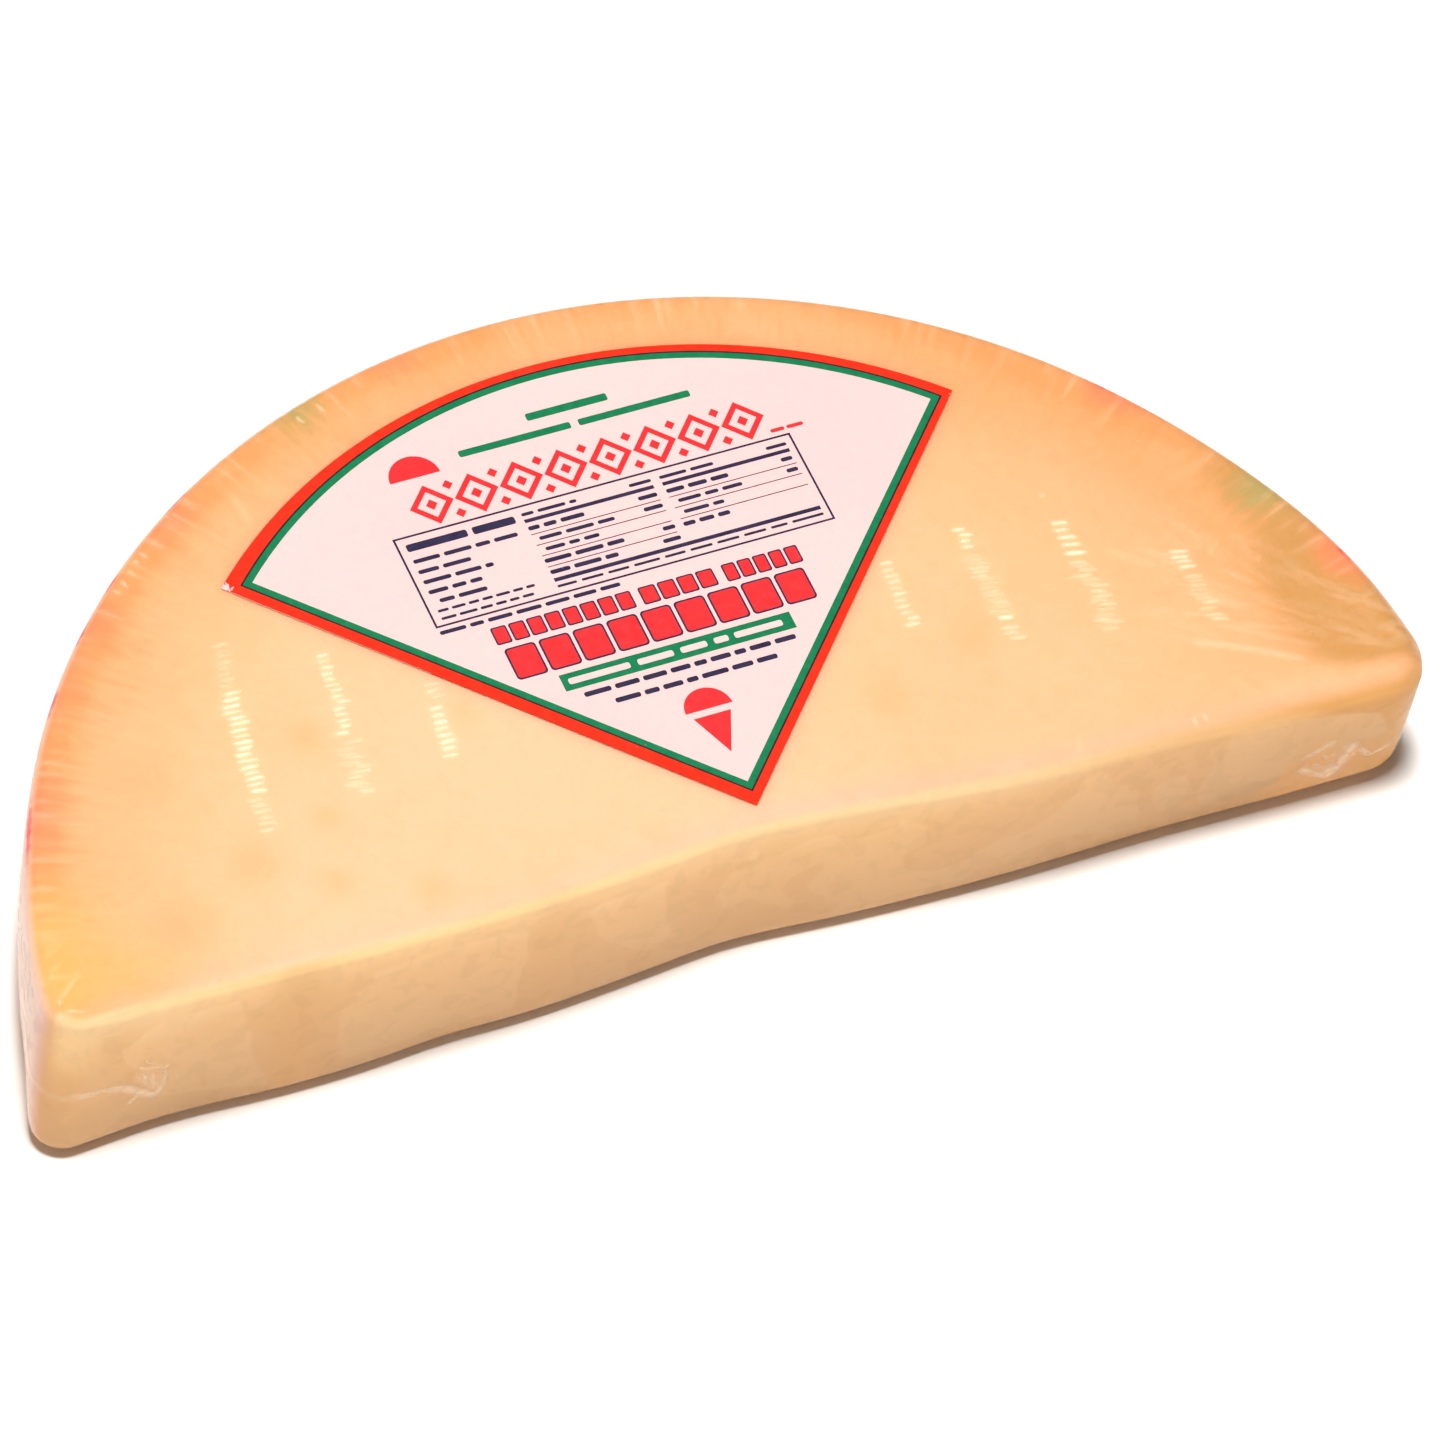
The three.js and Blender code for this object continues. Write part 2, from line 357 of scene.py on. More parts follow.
def add_pleats(turn, inward, lift, milk_and_glint):
    for at, depth, half_wide, height, white_and_glint in pleats:
        across = (turn - at) * wheel_radius
        near = np.flatnonzero((np.abs(across) < 2.6 * half_wide) & (inward < 1.5 * depth))
        shape = bell(across[near], half_wide) * np.exp(-((inward[near] / depth) ** 2))
        lift[near] += height * shape
        milk_and_glint[near] = np.maximum(milk_and_glint[near], white_and_glint * shape)


# %% Where the label lies, because the film rides up over it
label_point = np.array([2.3, 17.9])
label_radius = 118.4
label_half_angle = math.radians(44.3)
label_turn = math.radians(0.48)
paper_low, paper_high, ink_high, film_over = 0.04, 0.22, 0.26, 0.32


# %% The film's relief on the top
def outside_label(x, y):
    """Distance outside the label's edge, below 0 on the label."""
    dx, dy = x - label_point[0], y - label_point[1]
    side = dx * math.cos(label_turn) + dy * math.sin(label_turn)
    along = dy * math.cos(label_turn) - dx * math.sin(label_turn)
    edge = np.abs(side) * math.cos(label_half_angle) - along * math.sin(label_half_angle)
    return np.maximum(np.hypot(side, along) - label_radius, edge)


def film_on_top(x, y):
    """Height of the film's relief over the top face, and its milkiness with painted highlights."""
    clear = smooth(outside_label(x, y), 0.5, 2.0)
    lift, milk_and_glint = add_marks(x, y, rungs)
    lift, milk_and_glint = lift * clear, milk_and_glint * clear
    more, white_and_glint = add_marks(x, y, corner_folds_and_glints + left_glints + front_glint_ticks + glint_marks + label_crease_glints)
    lift += more
    milk_and_glint = np.maximum(milk_and_glint, white_and_glint)
    turn = np.arctan2(y, x)
    add_pleats(turn, np.maximum(wheel_radius - top_round - np.hypot(x, y), 0), lift, milk_and_glint)
    lift += film_over * (1 - smooth(outside_label(x, y), 0.3, 11))
    return lift, milk_and_glint


# %% The seal round the wall
seal_height, seal_fall, seal_dip, seal_dip_reach = 21.5, 0.057, 9.0, 25.0
seal_stand_out, seal_half_wide, seal_milk = 0.16, 0.95, 0.15
doubled_at, doubled_reach, doubled_milk = (129.8, 10.5), 2.6, 0.5  # film lying double in the right ear


def seal_height_at(x, y):
    on_left = smooth(-x, 0, 0.5 * wheel_radius)
    turned = 1 - smooth(y - cut_offset, 0, seal_dip_reach)
    return seal_height - seal_fall * x - seal_dip * on_left * turned


# %% Its two crumpled ears
left_ear = creases(
    (0.9, 0.05, 0.4, (-149, 24.4), (-144, 21.4), (-138, 20.8), (-134, 19.4)),
    (1.1, 0.05, 0.55, (-134, 19.4), (-131.4, 16.8), (-127.6, 13.2)),
    (0.9, 0.03, 0.4, (-127.6, 13.2), (-126.4, 15.2), (-125.8, 19.5)),
    (0.6, 0.03, 0.3, (-131.3, 24.4), (-128.5, 23.6), (-125.2, 22.4)),
    (0.7, 0.03, 0.36, (-130.4, 22.6), (-129.4, 17.6)),
    (0.7, 0.03, 0.36, (-128.6, 21.4), (-128.2, 16.1)),
)
right_ear = creases(
    (1.5, 0.05, 0.55, (129.5, 7.8), (131.5, 11.4), (132.6, 15.4), (133.6, 19.0)),
    (1.1, 0.04, 0.45, (129.5, 7.8), (126.4, 11.0), (123.2, 13.8)),
    (0.9, 0.02, 0.3, (123.5, 18.0), (126.4, 20.4), (129, 22.0)),
    (0.9, 0.03, 0.36, (135.1, 16.0), (138.0, 12.4), (144.6, 14.6)),
)
ears = [(-129.5, 18.5, left_ear), (129.5, 13.5, right_ear)]
crumples = 30
for middle_x, middle_z, ear in ears:
    for _ in range(crumples):
        u, v = middle_x + chance.normal(0, 2.6), middle_z + chance.normal(0, 2.8)
        length, half_wide = chance.uniform(0.7, 2.0), chance.uniform(0.35, 0.6)
        lean, height, white_and_glint = chance.uniform(40, 140), chance.uniform(-0.03, 0.03), chance.uniform(0, 0.36)
        ear.append((u, v, lean, length, half_wide, height, white_and_glint))


# %% The film's relief on the wall
def film_on_wall(x, y, normal_y, turn, z):
    """Height of the film's relief out of the wall, and its milkiness with painted highlights."""
    seal = bell(z - seal_height_at(x, y), seal_half_wide)
    on_cut = smooth(-normal_y, 0.9, 0.999)
    fade = 1 - on_cut * (1 - smooth(np.abs(x), 136, 142))
    lift, milk_and_glint = seal_stand_out * seal * fade, seal_milk * seal * fade
    more, white_and_glint = add_marks(x, z, left_ear + right_ear)
    doubled = doubled_milk * bell(np.hypot(x - doubled_at[0], z - doubled_at[1]), doubled_reach)
    lift += more * on_cut
    milk_and_glint = np.maximum(milk_and_glint, np.maximum(white_and_glint, doubled) * on_cut)
    below = np.where(normal_y > -0.5, height_at(x) - z, 99.0)
    add_pleats(turn, 1.6 * below, lift, milk_and_glint)
    return lift, milk_and_glint


# %% [markdown]
# ### One builder for every skin
#
# The cheese and the film are the same closed skin at two depths and two finenesses. A plain grid fine
# enough for the rungs would have millions of faces, so points are laid on a grid whose spacing doubles
# where nothing happens, and a Delaunay triangulation joins them. The wall, the top and the foot are filled
# one after another and share the points where they meet, so the skin is closed.

# %% Bending the flat wall sheet round the slab
climb_foot, climb_top, climb_all = 8.0, 44.0, 50.0  # foot rounding, straight wall, top rounding


def wall_at(run, climb, inset, relief):
    """Points of the skin's wall. Also how upright each one is, its plan normal and its milkiness with
    painted highlights.
    """
    px, py, nx, ny = outline_at(run)
    soft = softness(px, py)
    foot = foot_round + (soft_round - foot_round) * soft
    head = top_round + (soft_round - top_round) * soft
    height = height_at(px)
    low = np.clip(climb / climb_foot, 0, 1) * (math.pi / 2)
    high = np.clip((climb_all - climb) / (climb_all - climb_top), 0, 1) * (math.pi / 2)
    share = np.clip((climb - climb_foot) / (climb_top - climb_foot), 0, 1)
    upright = np.sin(low) * np.sin(high)
    out = -foot * (1 - np.sin(low)) - head * (1 - np.sin(high))
    z = foot * (1 - np.cos(low)) + (height - foot - head) * share + head * np.cos(high)
    out = out + rind_bulge * smooth(ny, -0.9, 0) * np.sin(math.pi * z / height)
    lift, milk_and_glint = np.zeros_like(z), np.zeros_like(z)
    if relief:
        turn = np.arctan2(py, px)
        lift, milk_and_glint = film_on_wall(px + out * nx, py, ny, turn, z)
        milk_and_glint = milk_and_glint * upright
    out = out + (lift - inset) * upright
    z = z + inset * (np.cos(low) - np.cos(high))
    x, y = settle(px + out * nx, py + out * ny, z)
    z = z * height_at(x) / height
    if relief:
        over, white_and_glint = film_on_top(x, y)
        z = z + over * np.cos(high) ** 2
        milk_and_glint = np.maximum(milk_and_glint, white_and_glint * np.cos(high))
    return np.column_stack([x, y, z]), upright, ny, milk_and_glint


# %% The same for the top and the foot
def top_at(x, y, inset, relief):
    """Points of the skin's top face, from points of the plain half disc."""
    x, y = settle(x, y, height_at(x))
    lift, milk_and_glint = film_on_top(x, y) if relief else (0, np.zeros_like(x))
    return np.column_stack([x, y, height_at(x) - inset + lift]), milk_and_glint


def foot_at(x, y, inset, relief):
    """Points of the foot, from points of the plain half disc."""
    x, y = settle(x, y, np.zeros_like(x))
    return np.column_stack([x, y, np.full_like(x, inset)]), np.zeros_like(x)


# %% Joining points to triangles
def inside_loop(x, y, loop):
    """True for the points inside a closed loop: those a ray leaves by an odd number of edges."""
    inside = np.zeros(x.shape, bool)
    for (x0, y0), (x1, y1) in zip(loop, np.roll(loop, -1, axis=0)):
        if y0 != y1:
            inside ^= ((y0 > y) != (y1 > y)) & (x < x0 + (x1 - x0) * (y - y0) / (y1 - y0))
    return inside


def fill(rim, inner):
    """Delaunay triangles that fill the loop of rim points and use every inner point."""
    flat = np.float32(np.vstack([rim, inner])).astype(float)  # as exact as a Vector stores them
    points = [Vector((float(u), float(v))) for u, v in flat]
    found = delaunay_2d_cdt(points, [], [list(range(len(rim)))], 1, 1e-7, True)
    source = [group[0] for group in found[3]]
    faces = np.array([[source[i] for i in face] for face in found[2]])
    first, second = flat[faces[:, 1]] - flat[faces[:, 0]], flat[faces[:, 2]] - flat[faces[:, 0]]
    turned = first[:, 0] * second[:, 1] - first[:, 1] * second[:, 0] < 0
    faces[turned] = faces[turned][:, ::-1]
    # Where the rim bends inwards, triangles across the bend lie outside it.
    across = np.flatnonzero((faces < len(rim)).all(axis=1))
    middle = flat[faces[across]].mean(axis=1)
    stray = ~inside_loop(middle[:, 0], middle[:, 1], flat[: len(rim)])
    return np.delete(faces, across[stray], axis=0)


# %% Laying the points
def sparse_grid(xs, ys, level_of):
    """Grid points, kept only every so often as level_of says: 1 keeps all, 4 every fourth."""
    i, j = np.meshgrid(np.arange(len(xs)), np.arange(len(ys)))
    x, y = xs[i], ys[j]
    level = level_of(x, y)
    keep = (i % level == 0) & (j % level == 0)
    return x[keep], y[keep], level[keep]


def inside_plan(x, y, margin):
    """True for points of the plain half disc that lie inside the top or the foot ring."""
    edge = margin + top_round + (soft_round - top_round) * softness(x, y)
    inside = (np.hypot(x, y) < wheel_radius - edge) & (y > cut_offset + edge)
    for middle, radius in ((right_middle, corner_right), (left_middle, corner_left)):
        dx, dy = x - middle[0], y - middle[1]
        turn = np.arctan2(dy, dx * np.sign(middle[0]))
        outer = math.atan2(middle[1], abs(middle[0]))
        in_corner = (turn < outer) & (turn > -math.pi / 2) & (dx * np.sign(middle[0]) > 0)
        inside &= ~in_corner | (np.hypot(dx, dy) < radius - edge)
    return inside


# %% The wall as a flat sheet
def wall_sheet(fine, ring_step, level_of):
    """Places (run, climb) and triangles of the wall, and the rings where the foot and the top join it."""
    columns, rows = (ring_step * round(length / fine / ring_step) for length in (walk_length, climb_all))
    runs, climbs = np.linspace(0, walk_length, columns + 1), np.linspace(0, climb_all, rows + 1)
    ring, side = runs[::ring_step], climbs[::ring_step]
    rim = [(u, 0) for u in ring[:-1]] + [(walk_length, v) for v in side[:-1]]
    rim += [(u, climb_all) for u in ring[:0:-1]] + [(0, v) for v in side[:0:-1]]
    u, v, level = sparse_grid(runs, climbs, level_of)
    gap = 0.6 * fine * np.maximum(level, ring_step * 0.8)
    clear = (u > gap) & (u < walk_length - gap) & (v > gap) & (v < climb_all - gap)
    sheet = np.vstack([rim, np.column_stack([u[clear], v[clear]])])
    faces = fill(sheet[: len(rim)], sheet[len(rim) :])
    # The sheet's right edge is its left edge again, once round the slab.
    rings, sides = len(ring) - 1, len(side) - 1
    right, top, left = rings, rings + sides, 2 * rings + sides
    same = np.arange(len(sheet))
    same[right:top] = np.concatenate([[0], np.arange(len(rim) - 1, left, -1)])
    same[top] = left
    top_ring = np.concatenate([[left], np.arange(top + rings - 1, top, -1)])
    return sheet, same[faces], np.arange(rings), top_ring


# %% The whole skin: wall, top and foot
def slab_skin(inset, fine, ring_step, wall_level, top_level, relief=False):
    """A closed skin round the slab: points, triangles, and what each point knows about its place."""
    sheet, faces, foot_ring, top_ring = wall_sheet(fine, ring_step, wall_level)
    points, upright, normal_y, milk_and_glint = wall_at(sheet[:, 0], sheet[:, 1], inset, relief)
    half = wheel_radius + fine
    coarse = max(ring_step, round(4 / fine))
    caps = [(top_ring, top_at, top_level), (foot_ring, foot_at, lambda x, y: np.full(x.shape, coarse))]
    all_faces = [faces]
    for ring, place, level_of in caps:
        x, y, level = sparse_grid(np.arange(-half, half, fine), np.arange(cut_offset, half, fine), level_of)
        inside = inside_plan(x, y, 0.55 * fine * np.maximum(level, ring_step))
        inner, white_and_glint = place(x[inside], y[inside], inset, relief)
        ids = np.concatenate([ring, len(points) + np.arange(len(inner))])
        all_faces.append(ids[fill(points[ring, :2], inner[:, :2])])
        points, milk_and_glint = np.vstack([points, inner]), np.concatenate([milk_and_glint, white_and_glint])
    all_faces[-1] = all_faces[-1][:, ::-1]  # the foot looks down
    faces = np.vstack(all_faces)
    upright, normal_y = (np.append(v, np.zeros(len(points) - len(sheet))) for v in (upright, normal_y))
    used = np.unique(faces)
    renumber = np.full(len(points), -1)
    renumber[used] = np.arange(len(used))
    return points[used], renumber[faces], upright[used], normal_y[used], milk_and_glint[used]


# %% Making a mesh object
def new_piece(name, points, faces, materials, shade_smooth=True):
    """A mesh object from millimetre points round the wheel's axis."""
    placed = (points + np.array([axis_at[0], axis_at[1], 0])) * mm
    mesh = bpy.data.meshes.new(name)
    mesh.from_pydata(placed.tolist(), [], [list(map(int, f)) for f in faces])
    mesh.polygons.foreach_set("use_smooth", [shade_smooth] * len(mesh.polygons))
    mesh.update()
    piece = bpy.data.objects.new(name, mesh)
    bpy.context.scene.collection.objects.link(piece)
    for material in materials:
        mesh.materials.append(material)
    return piece


def paint(piece, name, values):
    """Stores one number a point, for a material to read."""
    layer = piece.data.attributes.new(name, "FLOAT", "POINT")
    layer.data.foreach_set("value", np.clip(values, 0, 1).astype(np.float32))


# %% Building materials from nodes
def new_material(name):
    """Begins a material. Every node goes into the one begun last. Also gives the places on the object."""
    global tree
    material = bpy.data.materials.new(name)
    material.use_nodes = True
    tree = material.node_tree
    tree.nodes.clear()
    return material, add("TexCoord", {}).outputs["Object"]


def add(kind, values, **settings):
    """A node. values sets or links its sockets, and a node given there means its first output."""
    node = tree.nodes.new("ShaderNode" + kind)
    for option, value in settings.items():
        setattr(node, option, value)
    for socket, value in values.items():
        if isinstance(value, bpy.types.Node):
            value = value.outputs[0]
        if isinstance(value, bpy.types.NodeSocket):
            tree.links.new(value, node.inputs[socket])
        else:
            node.inputs[socket].default_value = value
    return node


# %% Numbers in a material
def read(name):
    """The painted number called name."""
    return add("Attribute", {}, attribute_name=name).outputs["Fac"]


def calc(kind, first, second):
    return add("Math", {0: first, 1: second}, operation=kind)


def sum_of(*terms):
    """Adds up nodes and numbers. A pair stands for a node times a factor."""
    total = None
    for term in terms:
        if isinstance(term, tuple):
            term = calc("MULTIPLY", *term)
        total = term if total is None else calc("ADD", total, term)
    return total


def between(value, low, high, from_=0.0, to=1.0):
    """value, spread so that low gives from_ and high gives to."""
    values = {"Value": value, "From Min": low, "From Max": high, "To Min": from_, "To Max": to}
    return add("MapRange", values, interpolation_type="SMOOTHSTEP")


# %% Noise, colours and bumps
def blend(share, first, second, kind="MIX"):
    values = {0: share, 6: first, 7: second}
    return add("Mix", values, data_type="RGBA", blend_type=kind).outputs[2]


def noise(place, scale, detail=3.0, roughness=0.55, distortion=0.0):
    values = {"Scale": scale, "Detail": detail, "Roughness": roughness, "Distortion": distortion}
    return add("TexNoise", {"Vector": place, **values})


def ramp(value, stops):
    """A colour scale. stops are pairs of a position and a colour."""
    node = add("ValToRGB", {"Fac": value})
    scale = node.color_ramp
    while len(scale.elements) < len(stops):
        scale.elements.new(0.5)
    for element, (position, colour) in zip(scale.elements, stops):
        element.position, element.color = position, (*colour, 1)
    return node


def bump(height, strength, distance):
    return add("Bump", {"Strength": strength, "Distance": distance, "Height": height})


def surface(shader):
    """Ends a material."""
    add("OutputMaterial", {"Surface": shader})
    print("a material of", len(tree.nodes), "nodes")


# %% [markdown]
# ## The cheese
#
# Provolone is a dense, waxy paste: pale butter-yellow in the middle, warmer and more orange towards the
# rind, where it has dried. Its printed rind has bled red and green ink a little way into the rim. The cut
# face shows paler patches with crisp edges, where the film has not wetted the surface. The body is the
# slab skin a quarter of a millimetre inside the film, with those things painted on its points.

# %% The body's mesh
body_inset, body_fine = 0.25, 1.05


def body_top_level(x, y):
    rim = (np.hypot(x, y) > wheel_radius - 14) | (y < cut_offset + 9)
    return np.where(rim, 1, 2)


def body_wall_level(run, climb):
    px, py, nx, ny = outline_at(run)
    return np.where(ny < -0.5, 1, 2)


made = slab_skin(body_inset, body_fine, 1, body_wall_level, body_top_level)
body_points, body_faces, upright, normal_y, _ = made
x, y, z = body_points.T
print("cheese body:", len(body_points), "points,", len(body_faces), "triangles")


# %% [markdown]
# ### Painting where things are
#
# The colours could come from textures wrapped round the slab, but the slab has no natural unwrapping.
# Numbers painted on the points say how dried, how stained or how wetted each place is, and some paint
# shade: down the cut face, along its top edge and towards the right end of the top. The material turns
# them into colour and breaks up their edges with noise.

# %% How far the top has dried, with painted shade towards the right end
radius = np.hypot(x, y)
turn = np.degrees(np.arctan2(y, x))
behind_edge = y - cut_offset + cut_face_out(x, 1.0)


def spots_on(u, v, spots):
    """Soft spots, added up. Each is a place, two half widths and a strength."""
    total = np.zeros_like(u)
    for at_u, at_v, wide, deep, strength in spots:
        total += strength * bell(np.hypot((u - at_u) / wide, (v - at_v) / deep), 1)
    return total


orange_spots = [
    (-78, 61.5, 4.5, 4.5, 0.3),
    (-99, 36, 5, 5, 0.3),
    (-118, 27, 7, 7, 0.3),
    (-81, 42.8, 3, 3, 0.24),
    (-85.5, 27, 3.6, 3.6, 0.28),
    (-67.5, 19.5, 4.4, 4.4, 0.26),
    (-45, 58.5, 4, 4, 0.2),
    (61.5, 43.5, 5, 5, 0.2),
    (39, 34.5, 5, 5, 0.2),
    (-112, 62, 6, 6, 0.16),
    (-20, 17, 4, 4, 0.14),
    (-147, 22, 13, 13, -0.18),  # a paler place
]
dry_from_axis = [75, 97.5, 120, 135, 142.5, 147]
dry_there = [0, 0.07, 0.27, 0.52, 0.68, 0.9]
dry_and_shade = np.interp(radius, dry_from_axis, dry_there) + spots_on(x, y, orange_spots)
# painted shade: the x terms darken the top towards the right end; the y term dries it towards the back rim
dry_and_shade += 0.2 * smooth(x, 5, 45) + 0.1 * smooth(x, 60, 150) + 0.1 * smooth(y, 110, 145)
dry_and_shade += 0.16 * smooth(radius, 139, 147) * smooth(turn, 112, 118)
dry_and_shade -= (0.34 * bell(turn - 70, 14) + 0.24 * bell(turn - 29, 5)) * smooth(radius, 132, 146)
# paler near the front edge at the right end
dry_and_shade *= 1 - 0.55 * smooth(x, 95, 130) * (1 - smooth(behind_edge, 8, 20))
print("the driest point of the top:", round(float(dry_and_shade.max()), 2))

# %% Golden and honey-coloured places near the ends
gold = 0.8 * smooth(turn, 0, 5) * (1 - smooth(turn, 15, 24)) * smooth(radius, 124, 142)
gold += 0.6 * bell(turn - 26, 4.5) * smooth(radius, 136, 146)
gold += spots_on(x, y, [(147, 27, 22, 27.5, 1.0)])
ochre = gold * smooth(behind_edge, 3, 14)
honey = spots_on(x, y, [(-144, 30, 15, 18.75, 0.75), (-128, 18, 9, 9, 0.35), (-147, 17, 7, 7, 0.4)])

# %% Ink that has bled in from the rim
red_bleeds = [  # turn round the wheel in degrees, half width, depth in mm, strength
    (156.0, 5.0, 6.5, 1.0),
    (143.5, 5.5, 8.0, 0.62),
    (136.0, 3.0, 7.0, 0.8),
    (125.0, 4.0, 6.5, 0.85),
    (99.7, 2.6, 6.0, 0.75),
    (49.0, 2.0, 3.0, 0.2),
    (38.6, 2.4, 4.4, 1.5),
    (35.5, 2.0, 4.0, 0.4),
    (14.8, 2.6, 4.6, 1.05),
]
green_bleeds = [(109.6, 2.8, 7.5, 0.85), (23.6, 2.6, 8.0, 1.0)]
in_from_rim = np.maximum(wheel_radius - 1.5 - radius, 0)
rind = smooth(normal_y, -0.55, 0.0) * smooth(upright, 0.72, 0.99)


def bleed(stains):
    """Stains that fade inwards from the rim, and half fade on the rind."""
    total = np.zeros_like(x)
    for at, half_wide, reach, strength in stains:
        total += strength * bell(turn - at, half_wide) * np.exp(-((in_from_rim / reach) ** 1.6))
    return total * (1 - 0.5 * rind)


red_ink = bleed(red_bleeds)
green_ink = bleed(green_bleeds)
print("stained share of the points:", round(float((red_ink > 0.1).mean()), 3))

# %% The crisp red lines where the rind's ink ends at the rim
red_ends = [  # turn and half width in degrees
    (157.2, 3.4),
    (145, 1.6),
    (138.2, 1.4),
    (132.7, 1.4),
    (122.8, 2.0),
    (39.5, 1.6),
    (14.6, 1.8),
]
on_right = turn < 90  # there the lines are paler and reach further over the rim
line_red = sum(bell(turn - at, half_wide) for at, half_wide in red_ends) * (1 - 0.45 * on_right)
line_red *= smooth(upright, 0.5 - 0.25 * on_right, 0.75 - 0.2 * on_right)
line_red *= (1 - smooth(upright, 0.93, 0.995)) * smooth(z, 30, 34) * smooth(normal_y, -0.85, -0.3)

# %% The cut face: where it is, how low, and its painted shade
depth = height_at(x) - z
on_cut = smooth(-normal_y, 0.2, 0.8) * smooth(upright, 0.35, 1.0)
# painted light and shade: the cut darkens towards the foot and the right end, and is lighter at the left
# end
cut_painted_shade = depth / 42 + 0.28 * smooth(x, 30, 130) - 0.16 * (1 - smooth(x, -150, -115))
cut_painted_shade = np.clip(cut_painted_shade + 0.25 * smooth(x, 98, 125) * smooth(depth, 22, 34), 0, 1)
# painted shade along the rounded top front edge, its strength varying along the cut
edge_shade_at = [-150, -110, -70, -20, 20, 100, 130]
edge_shade_share = [0.9, 0.5, 0.45, 0.6, 1, 0.9, 0.5]
edge = bell(np.maximum(behind_edge - 2, 0), 4) * bell(np.maximum(depth - 1, 0), 4)
edge *= np.interp(x, edge_shade_at, edge_shade_share)

# %% Its pale patches
pale_patches = [  # each outline as x and depth below the top
    "-136,14 -131,9 -124.6,6.3 -111.9,7.5 -111,11.6 -109.8,16.4 -108.3,19.3 -108.3,24.6 -107.4,29.4"
    " -106,32.9 -104.8,35.9 -104.8,40 -127.5,34 -133,27",
    "-73.2,8.1 -83.2,9.3 -83.8,12.2 -86.8,14 -87.4,17 -89.7,19.3 -90.6,23.5 -90.3,28.2 -90.3,34.1"
    " -89.1,37 -50.7,36.5 -51.3,30.6 -50,18.7 -51,9",
    "-37,9.3 -30.5,7.5 -19.3,8.7 -19.3,12.2 -18.7,18.1 -16.9,24 -16,27 -14,30 -19.3,31.7 -23.4,31.1"
    " -27,27.6 -29.9,24.6 -32.9,22.3 -34.3,17.5 -35.2,13.4",
    "-4.2,14 -1,12.8 6.7,11.6 11.5,8.7 17.4,8.1 20.3,11.6 25.7,11.6 31,11 32.7,8.7 35.1,11 38,12.2"
    " 38,18.1 35.7,19.9 32.7,20.5 33.3,23.5 35.1,26.4 38.7,27.6 42.2,29.4 46.9,28.2 50.5,26.4"
    " 50.5,34.7 35.7,34.7 20.3,35.9 18.6,32.3 17.4,29.4 14.4,27 13.8,24 16.8,19.9 17.1,16.4 12.6,18.4"
    " 9.1,21.1 7.6,24.6 10.9,29.4 9.7,30.6 3.2,26.4 0.2,24.6 -2.7,27 -5.1,25.2 -6.3,21.7 -6.6,18.1",
    "71.9,8.1 77.2,7.5 79.6,12.2 82.5,14.6 85.5,18.7 86.6,23.5 88.4,27 86.6,30 83.1,31.1 73.6,28.2"
    " 67.7,27.6 61.8,30 57.7,31.7 53,32.3 50,31.1 50,25.8 53.5,23.5 55.9,22.3 61.8,21.7 66.5,18.1"
    " 69.5,14 71.3,11",
    "90.2,17.5 92.6,15.8 96.7,15.8 97.9,19.3 97.3,25.8 94.3,28.2 91.4,27 90.2,22.3",
    "105.3,5.7 109,4.5 120.9,4.5 126.8,5.7 133.9,7.5 139.8,9.9 142.2,14 144,18.7 120.9,22.3"
    " 119.7,28.2 115,30 102,30 101.4,22.3 102,16.4 104.4,13.4",
    "-1.2,9.9 0.8,8 2.8,9.9 0.8,11.9",
]
pale_ledge = "100,0 123.3,3.4 133.9,7.5 139.8,9.9 142.2,14 144,18.7 144,60 100,60"


def outline_of(text):
    return np.array([[float(v) for v in pair.split(",")] for pair in text.split()])


def depth_inside(u, v, loop):
    """Distance to the loop's nearest edge, below 0 outside it."""
    nearest = np.full(u.shape, 99.0)
    for (u0, v0), (u1, v1) in zip(loop, np.roll(loop, -1, axis=0)):
        du, dv = u1 - u0, v1 - v0
        share = np.clip(((u - u0) * du + (v - v0) * dv) / (du * du + dv * dv), 0, 1)
        nearest = np.minimum(nearest, np.hypot(u - u0 - share * du, v - v0 - share * dv))
    return np.where(inside_loop(u, v, loop), nearest, -nearest)


inside = [depth_inside(x, depth, outline_of(text)) for text in pale_patches]
patch = 0.5 + 0.5 * np.clip(np.max(inside, axis=0) / 6, -1, 1)
print("patch values run from", round(float(patch.min()), 2), "to", round(float(patch.max()), 2))

# %% Its ochre places
brown_spots = [
    (-137, 11, 6, 6, 0.35),
    (-149, 27, 8, 8, 0.25),
    (-134, 23.5, 1.3, 1.3, 0.5),
    (-130.8, 21.4, 1.3, 1.3, 0.5),
    (-127, 23.5, 1.3, 1.3, 0.5),
    (-126.4, 29.4, 1.3, 1.3, 0.5),
    (126.8, 19, 3.2, 3.2, 0.9),
]
outside_ledge = -depth_inside(x, depth, outline_of(pale_ledge))
ochre_cut = spots_on(x, depth, brown_spots) + 0.35 * bell(x + 99, 7) + 0.15 * bell(x + 44, 5)
ochre_cut += 0.75 * smooth(x, 104, 120) * smooth(outside_ledge, -1.0, 1.5)
ochre_cut += 0.3 * smooth(x, 112, 122) * (1 - smooth(x, 146, 150)) * smooth(depth, 20, 24)
ochre_cut += 0.2 * smooth(x, 50, 110) + 0.3 * smooth(x, 108, 130)

# %% [markdown]
# ### The cheese material
#
# All this could be one painted image. Here one principled shader does it: the painted numbers pick a
# colour on scales from pale butter to ochre, noises of several sizes mottle them and fray their edges, and
# subsurface scattering lets the light sink in as it does in a waxy paste. The rind is a pinkish wax with
# blocks of faded red and green ink. Part of the colour is painted light and shade: the cut face is lighter
# under its top edge and darker towards its foot, that edge is shaded, and the top darkens to the right.

